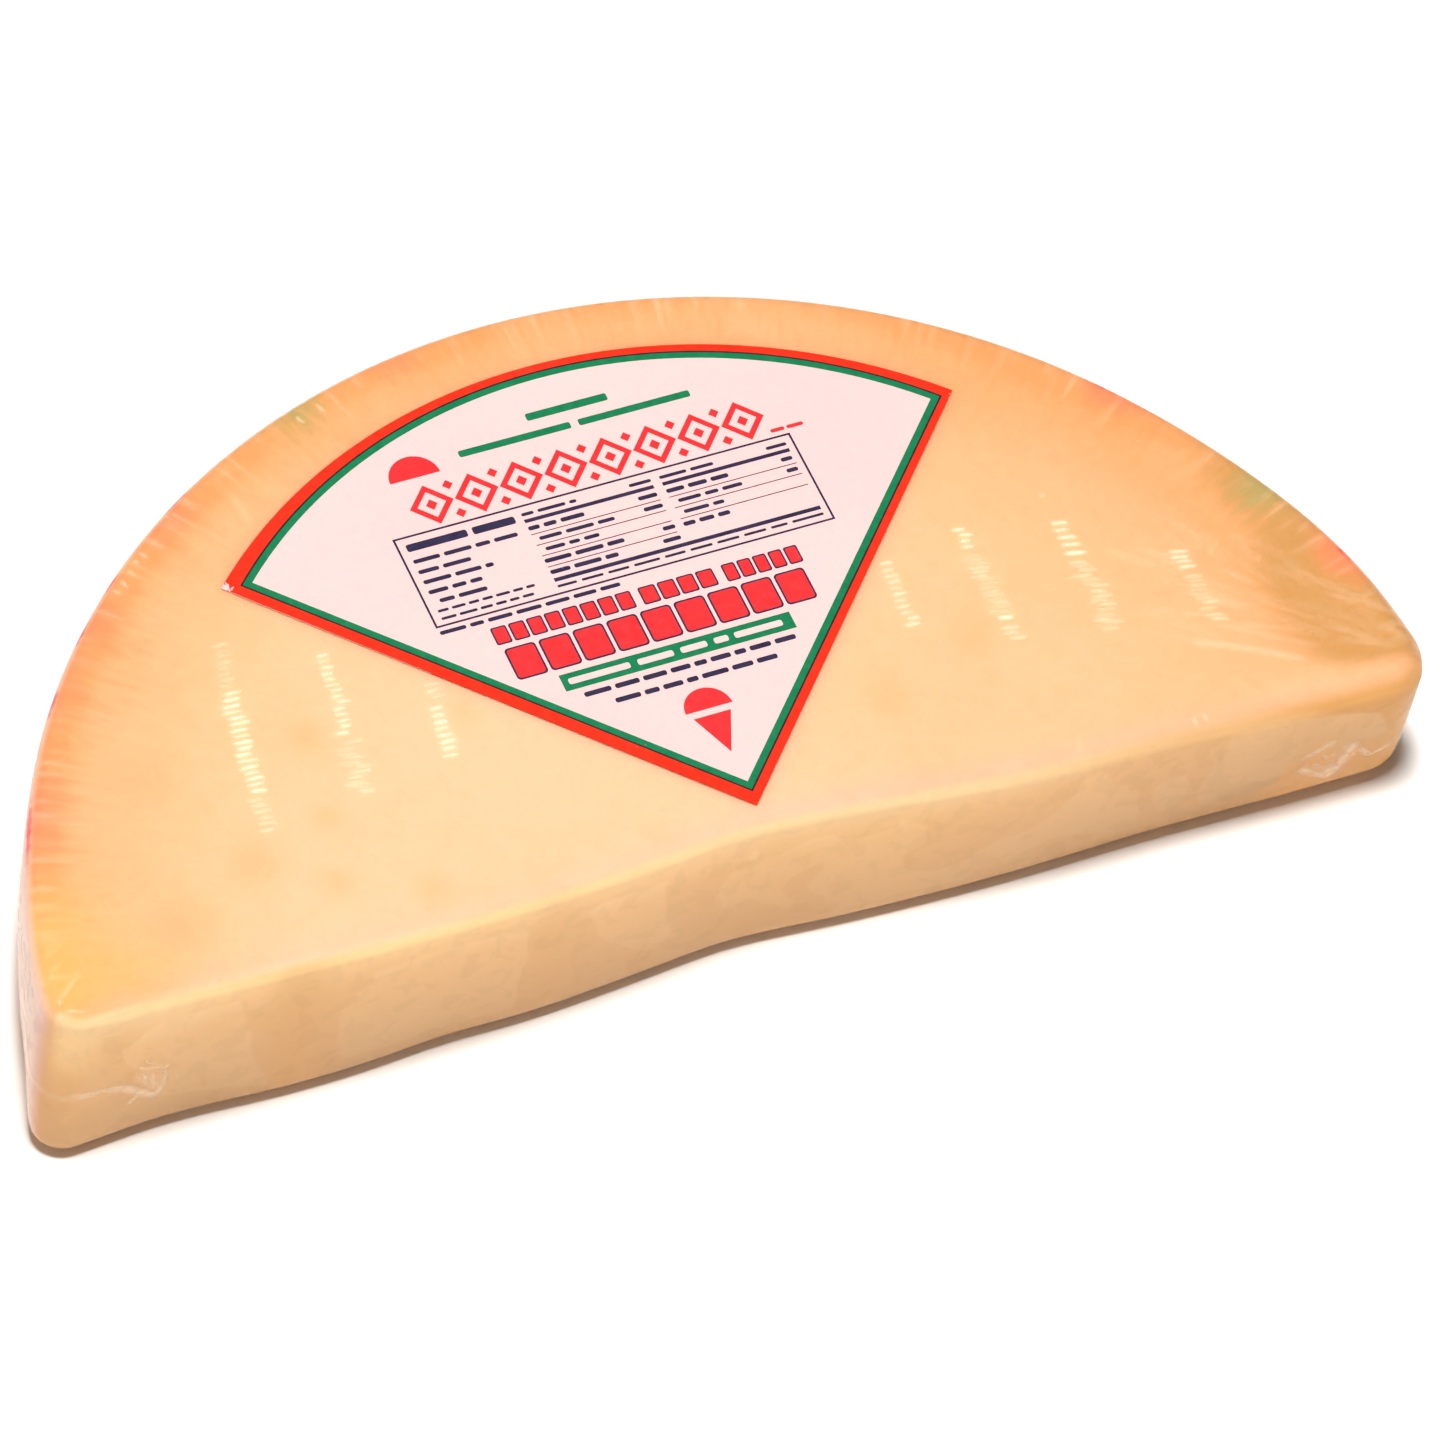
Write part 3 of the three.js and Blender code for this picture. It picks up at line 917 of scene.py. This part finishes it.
# %% Its places and noises
cheese, place = new_material("cheese_paste")
axis = (axis_at[0] * mm, axis_at[1] * mm, 0.0)
from_axis = add("VectorMath", {0: place, 1: axis}, operation="SUBTRACT")
away = add("VectorMath", {0: from_axis}, operation="LENGTH").outputs["Value"]
parts = add("SeparateXYZ", {0: from_axis})
around = calc("ARCTAN2", parts.outputs["Y"], parts.outputs["X"])
polar = add("CombineXYZ", {0: calc("MULTIPLY", away, 0.22), 1: calc("MULTIPLY", around, 0.15)})

cloud = noise(place, 26, 4)
mottle = noise(place, 170, 5, 0.66, 0.5)
streak = noise(polar, 420, 4, 0.6, 0.3)
grain = noise(place, 900, 2)
blotch = noise(place, 75, 4, 0.55, 0.6)
near_rim = between(away, 0.130, 0.151)
streaky = calc("MULTIPLY", sum_of(streak, -0.5), near_rim)


def broken_up(name, *by, weight=1.0, low=0.0, high=1.0, most=1.0):
    """The painted number called name, broken up by noises, as a share of at most most."""
    return between(sum_of((read(name), weight), *by), low, high, 0, most)


# %% Its colours on the top
dryness_and_shade = sum_of((read("dry_and_shade"), 1.0), (cloud, 0.26), (mottle, 0.26), (streaky, 0.28), -0.26)
butter = [
    (0.0, (0.80, 0.466, 0.270)),
    (0.3, (0.79, 0.420, 0.212)),
    (0.6, (0.76, 0.370, 0.173)),
    (0.8, (0.72, 0.332, 0.137)),
    (1.0, (0.67, 0.286, 0.101)),
]
ochre_colour = (0.54, 0.265, 0.085, 1)
honey_colour = (0.76, 0.385, 0.115, 1)
top_colour = ramp(dryness_and_shade, butter)
share = broken_up("ochre", (cloud, 0.4), (streaky, 0.5), -0.2)
top_colour = blend(share, top_colour, ochre_colour)
share = broken_up("honey", (cloud, 0.3), (mottle, 0.3), (streaky, 0.5), -0.3)
top_colour = blend(share, top_colour, honey_colour)

# %% Its colours on the cut
cut_shade_scale = [  # from the top edge down to the foot, lighter under the edge and darker at the foot as painted light and shade
    (0.05, (0.97, 0.640, 0.290)),
    (0.13, (0.95, 0.600, 0.262)),
    (0.31, (0.84, 0.480, 0.187)),
    (0.52, (0.75, 0.423, 0.168)),
    (0.74, (0.66, 0.368, 0.147)),
    (0.90, (0.59, 0.328, 0.130)),
    (1.00, (0.50, 0.270, 0.100)),
]
paler = (1.04, 1.08, 1.14, 1)
specks = (1.03, 1.06, 1.14, 1)
cut_ochre = (0.72, 0.345, 0.085, 1)
edge_shade_colour = (0.87, 0.945, 1.10, 1)
cut_colour = ramp(read("low"), cut_shade_scale)
pale = broken_up("patch", (mottle, 0.34), (cloud, 0.16), -0.25, low=0.47, high=0.515)
cut_colour = blend(pale, cut_colour, paler, "MULTIPLY")
share = calc("MULTIPLY", read("ochre_cut"), sum_of(1.0, (pale, -0.5)))
cut_colour = blend(share, cut_colour, cut_ochre)
speckled = between(blotch, 0.4, 0.8, 0, 0.24)
cut_colour = blend(speckled, cut_colour, specks, "MULTIPLY")
colour = blend(read("on_cut"), top_colour, cut_colour)
# painted shade along the top front edge
colour = blend(read("edge"), colour, edge_shade_colour, "MULTIPLY")

# %% Its inks and its rind
bled_red, bled_green = (0.80, 0.215, 0.10, 1), (0.33, 0.30, 0.095, 1)
wax_scale = [(0.3, (0.84, 0.53, 0.43)), (0.7, (0.84, 0.58, 0.46))]
rind_inks = {"rind_red": (0.76, 0.10, 0.13, 1), "rind_green": (0.16, 0.36, 0.16, 1)}
line_colour = (0.70, 0.05, 0.09, 1)
share = broken_up("red_ink", (streaky, 1.2), (mottle, 0.3), -0.15, most=0.75)
colour = blend(share, colour, bled_red)
share = broken_up("green_ink", (streaky, 1.2), (mottle, 0.3), -0.15, most=0.7)
colour = blend(share, colour, bled_green)
rind_colour = ramp(cloud, wax_scale)
for name, rind_ink in rind_inks.items():
    share = broken_up(name, (mottle, 0.9), -0.75, weight=1.2, low=0.1, high=0.5, most=0.75)
    rind_colour = blend(share, rind_colour, rind_ink)
colour = blend(read("rind"), colour, rind_colour)
share = broken_up("line_red", (streak, 0.9), -0.6, low=0.1, high=0.6, most=0.8)
colour = blend(share, colour, line_colour)

# %% Its shader
waxy_light = {  # how far the three colours of light wander in the paste
    "Subsurface Weight": 0.75,
    "Subsurface Radius": (1.0, 0.7, 0.45),
    "Subsurface Scale": 0.009,
}
paste = {
    "Base Color": colour,
    "Roughness": between(mottle, 0.25, 0.75, 0.42, 0.6),
    "IOR": 1.4,
    "Specular IOR Level": 0.2,
    "Normal": bump(sum_of((blotch, 0.75), (grain, 0.25)), 0.06, 0.0004),
}
surface(add("BsdfPrincipled", {**paste, **waxy_light}, subsurface_method="BURLEY"))

# %% Ink fields on the rind, and the finished body
fields_red = [(148, 5), (123, 5), (94, 5), (66, 5), (38.8, 5), (13.6, 4)]  # turn and half width in degrees
fields_green = [(108.5, 4), (80, 4), (52, 4), (24.3, 4)]
stripe_pitch = 9.5
stripes = 0.5 + 0.5 * np.sign(np.sin(z * 2 * math.pi / stripe_pitch))


def ink_field(fields, low, high):
    """Striped blocks of ink between two heights."""
    level = smooth(z, low - 1, low + 1) * (1 - smooth(z, high - 1, high + 1))
    across = [1 - smooth(np.abs(turn - at), half_wide * 0.8, half_wide) for at, half_wide in fields]
    return np.max(across, axis=0) * level * stripes


body = new_piece("cheese_body", body_points, body_faces, [cheese])
painted = {
    # dryness, with painted shade towards the right end
    "dry_and_shade": dry_and_shade,
    "ochre": ochre,
    "honey": honey,
    # painted shade along the top front edge
    "edge": edge,
    "red_ink": red_ink,
    "green_ink": green_ink,
    "rind": rind,
    "rind_red": ink_field(fields_red, 15, 38),
    "rind_green": ink_field(fields_green, 10, 36),
    "line_red": line_red,
    "on_cut": on_cut,
    # painted light and shade down the cut face
    "low": cut_painted_shade,
    "patch": patch,
    "ochre_cut": ochre_cut,
}
for name, values in painted.items():
    paint(body, name, values)
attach(body, "root")
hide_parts("wrapped_cheese")

# %% [markdown]
# ## The paper label
#
# The label is a quarter-round of coated paper. It was cut a little askew of its print, so its red border
# is wider on the left. A printed sheet could be one image on one face. Here the paper and each printed
# field are thin solids laid on each other, because then every edge stays crisp at any distance. The words
# are left out: bars, blocks and plain shapes stand in their places.

# %% Laying flat shapes on the sloping top
slope = math.atan(height_fall)
print_turn = math.radians(0.44)


def on_label(u, v, lift, turn=print_turn):
    """Label places, with v up the label from its point, as points round the wheel's axis."""
    side = u * math.cos(turn) - v * math.sin(turn)
    along = u * math.sin(turn) + v * math.cos(turn)
    x = label_point[0] + side * math.cos(slope) + lift * math.sin(slope)
    z = height_at(label_point[0]) - side * math.sin(slope) + lift * math.cos(slope)
    return np.column_stack([x, label_point[1] + along, z])


# %% A stack of flat shapes
class Flats:
    """Collects flat shapes as thin solids, each with the number of its colour."""

    def __init__(self):
        self.points, self.faces, self.colours = [], [], []

    def add(self, outline, faces, low, high, colour=0, turn=print_turn):
        outline = np.asarray(outline, float)
        count, start = len(outline), sum(len(p) for p in self.points)
        self.points.append(on_label(outline[:, 0], outline[:, 1], low, turn))
        self.points.append(on_label(outline[:, 0], outline[:, 1], high, turn))
        edges = {}
        for face in faces:
            for a, b in zip(face, face[1:] + face[:1]):
                edges[(a, b)] = edges.get((a, b), 0) + 1
        open_edges = [(a, b) for a, b in edges if (b, a) not in edges]
        new = [[start + i for i in face[::-1]] for face in faces]
        new += [[start + count + i for i in face] for face in faces]
        new += [[start + a, start + b, start + count + b, start + count + a] for a, b in open_edges]
        self.faces += new
        self.colours += [colour] * len(new)

    def shape(self, outline, colour, low=paper_high, high=ink_high):
        self.add(outline, [list(range(len(outline)))], low, high, colour)

    def strip(self, outer, inner, colour, low=paper_high, high=ink_high):
        count = len(outer)
        faces = [[i, (i + 1) % count, count + (i + 1) % count, count + i] for i in range(count)]
        self.add(np.vstack([outer, inner]), faces, low, high, colour)

    def piece(self, name, materials):
        made = new_piece(name, np.vstack(self.points), self.faces, materials, False)
        made.data.polygons.foreach_set("material_index", self.colours)
        return made


# %% The outline of the sheet and of its border
def sector(middle, radius, half_angle, offset=0.0, edge_steps=24, arc_steps=110):
    """A sector's outline, counter-clockwise from its point and moved outwards by offset."""
    back = offset / math.sin(half_angle)
    reach = back * math.cos(half_angle)
    reach += math.sqrt((radius + offset) ** 2 - (back * math.sin(half_angle)) ** 2)
    point = np.array([middle[0], middle[1] - back])
    right = point + reach * np.array([math.sin(half_angle), math.cos(half_angle)])
    left = point + reach * np.array([-math.sin(half_angle), math.cos(half_angle)])
    share = np.linspace(0, 1, edge_steps, endpoint=False)[:, None]
    start = math.atan2(right[1] - middle[1], right[0] - middle[0])
    turn = np.linspace(start, math.pi - start, arc_steps, endpoint=False)
    round_ = np.column_stack([np.cos(turn), np.sin(turn)]) * (radius + offset) + middle
    return np.vstack([point + share * (right - point), round_, left + share * (point - left)])


# %% The paper
paper_sheet = Flats()
paper_edge = sector(np.zeros(2), label_radius, label_half_angle)
middle_point = np.array([[0.0, 70.0]])
count = len(paper_edge)
fan = [[i, (i + 1) % count, count] for i in range(count)]
paper_sheet.add(np.vstack([paper_edge, middle_point]), fan, paper_low, paper_high, 0, label_turn)

coated_paper, place = new_material("coated_paper")
pulp = noise(place, 420, 4, 0.65)
wave = noise(place, 22, 2)
paper_tones = [(0.3, (0.79, 0.500, 0.480)), (0.7, (0.84, 0.535, 0.515))]
paper = {
    "Base Color": ramp(sum_of((pulp, 0.5), (wave, 0.5)), paper_tones),
    "Roughness": between(pulp, 0.2, 0.8, 0.5, 0.64),
    "Specular IOR Level": 0.15,
    "Normal": bump(pulp, 0.12, 0.0002),
}
surface(add("BsdfPrincipled", paper))
label = paper_sheet.piece("label_paper", [coated_paper])
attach(label, "root")
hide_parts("label")
print("paper covers", round(label_half_angle * label_radius**2 / 100), "square centimetres")

# %% [markdown]
# ### The inks
#
# Offset ink lies thin and even, with a slightly mottled density, and it flakes where the sheet was
# creased: at the far corners tiny chips of it are gone. A colour on each face would print too evenly, so
# each ink is a material with a darker and a lighter tone that one noise mixes.

# %% One material for each ink
worn_corners = [(-82.4, 84.4, 3.4), (82.6, 82.0, 3.0)]
bare_paper = (0.80, 0.52, 0.50, 1)


def ink(name, dark, light):
    material, place = new_material(name)
    density = noise(place, 520, 4, 0.6)
    flakes = noise(place, 1500, 2, 0.5)
    terms = []
    for u, v, size in worn_corners:
        spot = (on_label(np.array([u]), np.array([v]), ink_high)[0] + [*axis_at, 0]) * mm
        away = add("VectorMath", {0: place, 1: tuple(spot)}, operation="DISTANCE").outputs["Value"]
        terms.append(between(away, 0, size * mm, 1, 0))
    chipped = between(sum_of((sum_of(*terms), 0.42), (flakes, 1.0)), 0.78, 0.84)
    values = {
        "Base Color": blend(chipped, ramp(density, [(0.3, dark), (0.7, light)]), bare_paper),
        "Roughness": between(density, 0.2, 0.8, 0.42, 0.56),
        "Specular IOR Level": 0.1,
        "Normal": bump(density, 0.15, 0.0001),
    }
    surface(add("BsdfPrincipled", values))
    return material


inks = [
    ink("ink_border_red", (0.72, 0.022, 0.008), (0.80, 0.032, 0.012)),
    ink("ink_black", (0.020, 0.013, 0.014), (0.034, 0.020, 0.020)),
    ink("ink_green", (0.006, 0.150, 0.060), (0.012, 0.190, 0.078)),
    ink("ink_red", (0.66, 0.026, 0.030), (0.74, 0.036, 0.040)),
    ink("ink_navy", (0.020, 0.018, 0.048), (0.036, 0.030, 0.070)),
    ink("ink_left_white", (0.76, 0.505, 0.485), (0.82, 0.545, 0.52)),
]
BORDER_RED, BLACK, GREEN, RED, NAVY, WHITE = range(6)

# %% The border: red to the cut edge, a black line, and green
border = Flats()
frame_middle, frame_radius, frame_half_angle = np.array([0.58, 3.6]), 112.9, math.radians(44.53)


def frame_line(offset):
    return sector(frame_middle, frame_radius, frame_half_angle, offset)


sheet_line = sector(np.zeros(2), label_radius, label_half_angle, 0.05)
border.strip(sheet_line, frame_line(0.2), BORDER_RED, paper_low)
border.strip(frame_line(0.2), frame_line(-0.2), BLACK)
border.strip(frame_line(-0.2), frame_line(-1.67), GREEN)

# %% Shapes for the print
def rounded(u0, u1, v, height, corner=None):
    """A bar with rounded ends, centred on height v."""
    radius = min(height, u1 - u0) / 2 if corner is None else corner
    half = height / 2
    middles = [
        (u1 - radius, v + half - radius, 0),
        (u0 + radius, v + half - radius, 90),
        (u0 + radius, v - half + radius, 180),
        (u1 - radius, v - half + radius, 270),
    ]
    points = []
    for mu, mv, start in middles:
        for step in range(5):
            turn = math.radians(start + 22.5 * step)
            points.append((mu + radius * math.cos(turn), mv + radius * math.sin(turn)))
    return points


def bar_line(u0, u1, v, height, colour, gap=0.9, shortest=2.4, longest=6.4):
    """A line of text becomes a line of bars, as long as words."""
    u = u0
    while u < u1 - 0.8:
        stop = min(u + chance.uniform(shortest, longest), u1)
        if u1 - stop < shortest:
            stop = u1
        printed.shape(rounded(u, stop, v, height, min(height / 2, 0.45)), colour)
        u = stop + gap


def lozenge(u, v, half_wide, half_high):
    return [(u + half_wide, v), (u, v + half_high), (u - half_wide, v), (u, v - half_high)]


def half_disc(u, v, radius):
    return [(u + radius * math.cos(t), v + radius * math.sin(t)) for t in np.linspace(0, math.pi, 24)]


# %% The heading, in green and red
printed = Flats()
bar_line(-6.2, 12.2, 106.0, 1.9, GREEN, 1.2, 20, 21)
for start, stop in ((-23.3, 2.0), (3.8, 29.2)):
    bar_line(start, stop, 101.4, 1.7, GREEN, 1.2, 30, 31)
heading = np.linspace(-33.6, 36.9, 8)
for u in heading:
    printed.strip(lozenge(u, 91.1, 4.9, 5.2), lozenge(u, 91.1, 3.2, 3.4), RED)
    printed.shape(lozenge(u, 91.1, 1.3, 1.4), RED)
for u in heading[:-1] + 5.04:
    printed.shape(lozenge(u, 94.9, 1.2, 1.25), RED)
    printed.shape(lozenge(u, 87.3, 1.2, 1.25), RED)
bar_line(41.4, 48.9, 86.7, 0.9, RED, 0.5, 3, 3.4)
printed.shape(half_disc(-34.2, 98.6, 5.6), RED)

# %% The table
def rule(u0, u1, v, width):
    low, high = v - width / 2, v + width / 2
    printed.shape([(u0, low), (u1, low), (u1, high), (u0, high)], NAVY)


outer = [(-44.88, 61.4), (45.1, 61.4), (45.1, 85.15), (-44.88, 85.15)]
inner = [(-44.42, 61.86), (44.64, 61.86), (44.64, 84.69), (-44.42, 84.69)]
printed.strip(outer, inner, NAVY)
for start, stop in ((-42.9, -29.4), (-28.2, -18.7)):
    printed.shape(rounded(start, stop, 82.1, 1.9, 0.5), NAVY)
for start, stop, v in (
    (-42.9, -19.6, 78.5),
    (-42.9, -31.2, 75.7),
    (-42.9, -27.3, 73.0),
    (-42.9, -30.9, 70.3),
    (-41.5, -30.9, 67.7),
):
    bar_line(start, stop, v, 1.0, NAVY)
bar_line(-42.9, -21.3, 65.3, 0.66, NAVY, 0.7, 2, 4)
bar_line(-42.9, -22.3, 63.3, 0.66, NAVY, 0.7, 2, 4)
for v in (77.4, 74.5, 71.65, 68.65):
    rule(-17, 12.2, v, 0.2)
for v in (77.4, 74.5, 71.5):
    rule(14.2, 43.3, v, 0.2)
rule(-17, 12.2, 81.0, 0.9)
rule(14.2, 43.3, 81.0, 0.9)
rule(-17, 43.3, 65.15, 0.95)
for start, stop, v, height in (
    (-17, -4.6, 82.75, 0.8),
    (7.3, 12.3, 82.75, 0.8),
    (14.2, 26.5, 82.75, 0.8),
    (38.6, 43.3, 82.75, 0.8),
    (-17, -4.4, 79.0, 1.05),
    (7.8, 12.1, 79.0, 1.0),
    (14.2, 28.3, 79.0, 1.05),
    (40.4, 43, 79.0, 1.0),
    (-15.8, 1.2, 76.0, 0.9),
    (7.8, 12.1, 76.0, 1.0),
    (15.6, 30.2, 76.0, 0.9),
    (40.4, 43, 76.0, 1.0),
    (-15.6, -3.5, 73.1, 0.9),
    (15.6, 24.8, 73.0, 0.9),
    (-17, 0.9, 70.2, 1.05),
    (9.6, 12.4, 70.2, 1.0),
    (14.2, 24.8, 70.0, 1.05),
    (-17, -1.7, 67.2, 1.05),
    (8.4, 12.4, 67.2, 1.0),
):
    bar_line(start, stop, v, height, NAVY)
bar_line(-17, 43.3, 63.45, 0.62, NAVY, 1.1, 3.4, 6)

# %% The lines, tiles and banner below the table
over_ink = ink_high, ink_high + 0.02
bar_line(-44.6, -4.4, 60.0, 0.95, NAVY)
for start, stop, tiles in ((-34.6, -2.9, 8), (-1.7, 15.6, 4), (17.1, 34.8, 5)):
    edges = np.linspace(start, stop, tiles + 1)
    for u0, u1 in zip(edges, edges[1:]):
        printed.shape(rounded(u0 + 0.05, u1 - 0.45, 55.65, 4.5, 0.5), NAVY)
        printed.shape(rounded(u0 + 0.4, u1 - 0.8, 55.65, 3.8, 0.35), RED, *over_ink)
edges = np.linspace(-34, 34, 10)
for u0, u1 in zip(edges, edges[1:]):
    printed.shape(rounded(u0 + 0.1, u1 - 0.6, 48.05, 8.2, 0.9), NAVY)
    printed.shape(rounded(u0 + 0.5, u1 - 1.0, 48.05, 7.4, 0.7), RED, *over_ink)
printed.shape([(-25.7, 38.3), (26, 38.3), (26, 42.5), (-25.7, 42.5)], GREEN)
for start, stop in ((-24.3, -10.6), (-8.9, -0.9), (0.7, 6.6), (8.2, 11.4), (12.8, 23.6)):
    printed.shape(rounded(start, stop, 40.4, 1.5, 0.5), WHITE, *over_ink)
bar_line(-22.5, 24.8, 36.35, 1.2, NAVY)
bar_line(-17, 19.2, 33.0, 1.2, NAVY)
printed.shape(half_disc(0.45, 25.2, 5.2), RED)
printed.shape([(0.45, 13.8), (4.6, 23.6), (-3.7, 23.6)], RED)

# %% Printing it
border_piece = border.piece("label_border", inks)
print_piece = printed.piece("label_print", inks)
for piece in (border_piece, print_piece):
    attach(piece, "root")
print("border and print:", len(border.faces), "and", len(printed.faces), "faces")

# %% [markdown]
# ## The film
#
# The film is the same skin again, at the slab's true outer surface and with all the marks in it. Clear
# film is best made of two simple shaders: what it lets through, and what it mirrors, mixed by how
# steeply it is seen. Where it was stretched or doubled it turns milky, and a third, cream-coloured part is
# mixed in by the milkiness that was painted with the marks. On the rungs, glints and bright fold lines
# that cream part is a painted highlight.

# %% Where the film needs fine points
def near_ladder(x, y):
    near = np.zeros(x.shape, bool)
    for x0, y0, x1, y1, half_long, *_ in ladders:
        reach = half_long + 1.3
        near |= (x > min(x0, x1) - reach) & (x < max(x0, x1) + reach) & (y > y1 - 1.2) & (y < y0 + 1.2)
    return near


def film_top_level(x, y):
    level = np.full(x.shape, 8)
    radius = np.hypot(x, y)
    level[np.abs(outside_label(x, y) - 3) < 6] = 4
    level[(radius > wheel_radius - 18) | (y < cut_offset + 9)] = 4
    level[(x > 96) & (y < 60)] = 4
    level[radius > wheel_radius - 11] = 2
    level[(x > 103) & (y < 42)] = 2
    level[(x < -137) & (y < 33)] = 2
    level[near_ladder(x, y)] = 1
    return level


# %% Where the wall needs them, and the film's mesh
def film_wall_level(run, climb):
    px, py, nx, ny = outline_at(run)
    level = np.full(run.shape, 8)
    z = climb / climb_all * height_at(px)
    level[climb > 36] = 4
    level[(climb > 43) & ((climb > 46) | (ny > -0.9))] = 2
    level[(np.abs(z - seal_height_at(px, py)) < 2.6) & ((ny > -0.99) | (np.abs(px) > 120))] = 2
    ear = (ny < -0.9) & (np.abs(px) > 120) & (np.abs(px) < 140) & (climb > 5) & (climb < 32)
    level[ear] = 1
    return level


film_inset, film_fine = 0.03, 0.3
made = slab_skin(film_inset, film_fine, 2, film_wall_level, film_top_level, relief=True)
points, faces, _, _, milk_and_glint = made
box_low, box_high = (np.array(corner) / mm - [*axis_at, 0] for corner in cad_box)
points = np.clip(points, box_low, box_high)
print("film:", len(points), "points,", len(faces), "triangles")

# %% The film material
film_material, place = new_material("clear_shrink_film")
pucker = noise(place, 190, 3, 0.5, 0.6)
fine_pucker = noise(place, 700, 2, 0.5, 0.2)
puckered = bump(pucker, 0.14, 0.0003)
facing = add("LayerWeight", {"Blend": 0.5, "Normal": puckered}).outputs["Facing"]
shine = sum_of(0.035, (calc("POWER", facing, 5.0), 0.25))
through = add("BsdfTransparent", {"Color": (1, 1, 1, 1)})
gloss = {"Color": (1, 1, 1, 1), "Roughness": between(pucker, 0.2, 0.8, 0.2, 0.32), "Normal": puckered}
clear = add("MixShader", {0: shine, 1: through, 2: add("BsdfGlossy", gloss)})
# the cream part is milky film, and a painted highlight on rungs, glints and fold lines
milky_and_glinting = {"Base Color": (1.0, 0.81, 0.60, 1), "Roughness": 0.4, "Specular IOR Level": 0.3}
milk_and_glint_shader = add("BsdfPrincipled", milky_and_glinting)
speckle = between(fine_pucker, 0.2, 0.8, 0.75, 1.15)
most_milk_and_glint = 0.85
milk_and_glint_share = calc("MINIMUM", calc("MULTIPLY", read("milk_and_glint"), speckle), most_milk_and_glint)
surface(add("MixShader", {0: milk_and_glint_share, 1: clear, 2: milk_and_glint_shader}))

film = new_piece("clear_film", points, faces, [film_material])
paint(film, "milk_and_glint", milk_and_glint)
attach(film, "root")
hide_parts("wrapped_cheese")
film.visible_shadow = False  # clear film hardly dims the light, and shadows through it take long

# %% [markdown]
# ## The table, the light and the camera
#
# A white table and soft light show food best. One big softbox would be the usual way, but then the shadow
# spreads, and the film mirrors the box as one flat glare. Here the work is shared out. A small soft lamp
# hangs high over the slab, so the top is even and the shadow stays a narrow band at the foot. A long low
# lamp in front lights the cut face and hardly reaches the table. The film mirrors neither of these: a weak
# third lamp over the slab draws the bright lines on rungs and folds, and a fainter, warm one fills in from
# the front. The sky is a dim, warm glow from behind on the left.

# %% The floor
floor_material, place = new_material("white_table")
paper_grain = noise(place, 60, 3)
floor_colour = ramp(paper_grain, [(0.3, (0.93, 0.91, 0.88)), (0.7, (0.95, 0.93, 0.90))])
surface(add("BsdfPrincipled", {"Base Color": floor_colour, "Roughness": 0.7}))
floor_mesh = bpy.data.meshes.new("floor")
reach = 4.0
floor_mesh.from_pydata(
    [(side * reach, end * reach, -0.0002) for side, end in ((-1, -1), (1, -1), (1, 1), (-1, 1))],
    [],
    [[0, 1, 2, 3]],
)
floor = bpy.data.objects.new("floor", floor_mesh)
floor_mesh.materials.append(floor_material)
bpy.context.scene.collection.objects.link(floor)

# %% The light
world = bpy.data.worlds.new("studio_sky")
bpy.context.scene.world = world
world.use_nodes = True
tree = world.node_tree
towards = add("TexCoord", {}).outputs["Generated"]
bright_side = (-0.86, 0.5, 0.0)
lean = add("VectorMath", {0: towards, 1: bright_side}, operation="DOT_PRODUCT").outputs["Value"]
sky_strength = between(lean, 0.2, 0.95, 0.06, 0.4)
sky = tree.nodes["Background"]
sky.inputs["Color"].default_value = (1.0, 0.87, 0.74, 1)
tree.links.new(sky_strength.outputs[0], sky.inputs["Strength"])


def softbox(name, place, target, size, power, colour=(1, 1, 1)):
    light = bpy.data.lights.new(name, "AREA")
    light.shape = "RECTANGLE"
    light.size, light.size_y = size
    light.energy = power
    light.color = colour
    lamp = bpy.data.objects.new(name, light)
    bpy.context.scene.collection.objects.link(lamp)
    aim = Vector(target) - Vector(place)
    lamp.matrix_world = Matrix.Translation(place) @ aim.to_track_quat("-Z", "Y").to_matrix().to_4x4()
    return lamp


overhead = softbox("overhead", (-0.08, -0.03, 2.0), (0, 0, 0), (0.4, 0.4), 47.5)
low_fill = softbox("low_fill", (-0.25, -1.9, 0.24), (0, -0.07, 0.02), (1.6, 0.3), 6.8, (1.0, 0.96, 0.9))
for lamp in (overhead, low_fill):
    lamp.visible_glossy = False  # the film does not mirror these two
softbox("overhead_glint", (-0.12, 0.03, 1.38), (0, 0, 0), (0.26, 0.26), 4.0)
softbox("front_fill", (-0.1, -0.72, 1.34), (0, 0, 0.02), (1.2, 0.5), 0.6, (1.0, 0.9, 0.8))
print("lamps:", [lamp.name for lamp in bpy.data.lights])

# %% The camera
lens_mm = 194.966
stands_at = np.array([-0.47367821, -0.75632256, 1.33279231])
looks_at = np.array([0.00384533, 0.03910239, 0.04218464])
roll = math.radians(9.60798)
shift_to_frame = np.array([axis_at[0], axis_at[1], 0]) * mm


def aimed(place, target, roll):
    back = (place - target).normalized()
    level = Vector((0, 0, 1)).cross(back).normalized()
    up = back.cross(level)
    right = level * math.cos(roll) + up * math.sin(roll)
    top = up * math.cos(roll) - level * math.sin(roll)
    return Matrix.Translation(place) @ Matrix((right, top, back)).transposed().to_4x4()


camera_data = bpy.data.cameras.new("camera")
camera_data.lens = lens_mm
camera_data.sensor_width = 36
camera_data.clip_start, camera_data.clip_end = 0.05, 20
camera = bpy.data.objects.new("camera", camera_data)
bpy.context.scene.collection.objects.link(camera)
camera.matrix_world = aimed(Vector(stands_at + shift_to_frame), Vector(looks_at + shift_to_frame), roll)
bpy.context.scene.camera = camera
print("the camera stands", round(float(np.linalg.norm(stands_at - looks_at)), 2), "m away")
bpy.context.scene.view_settings.view_transform = "Standard"
bpy.context.scene.view_settings.look = "None"
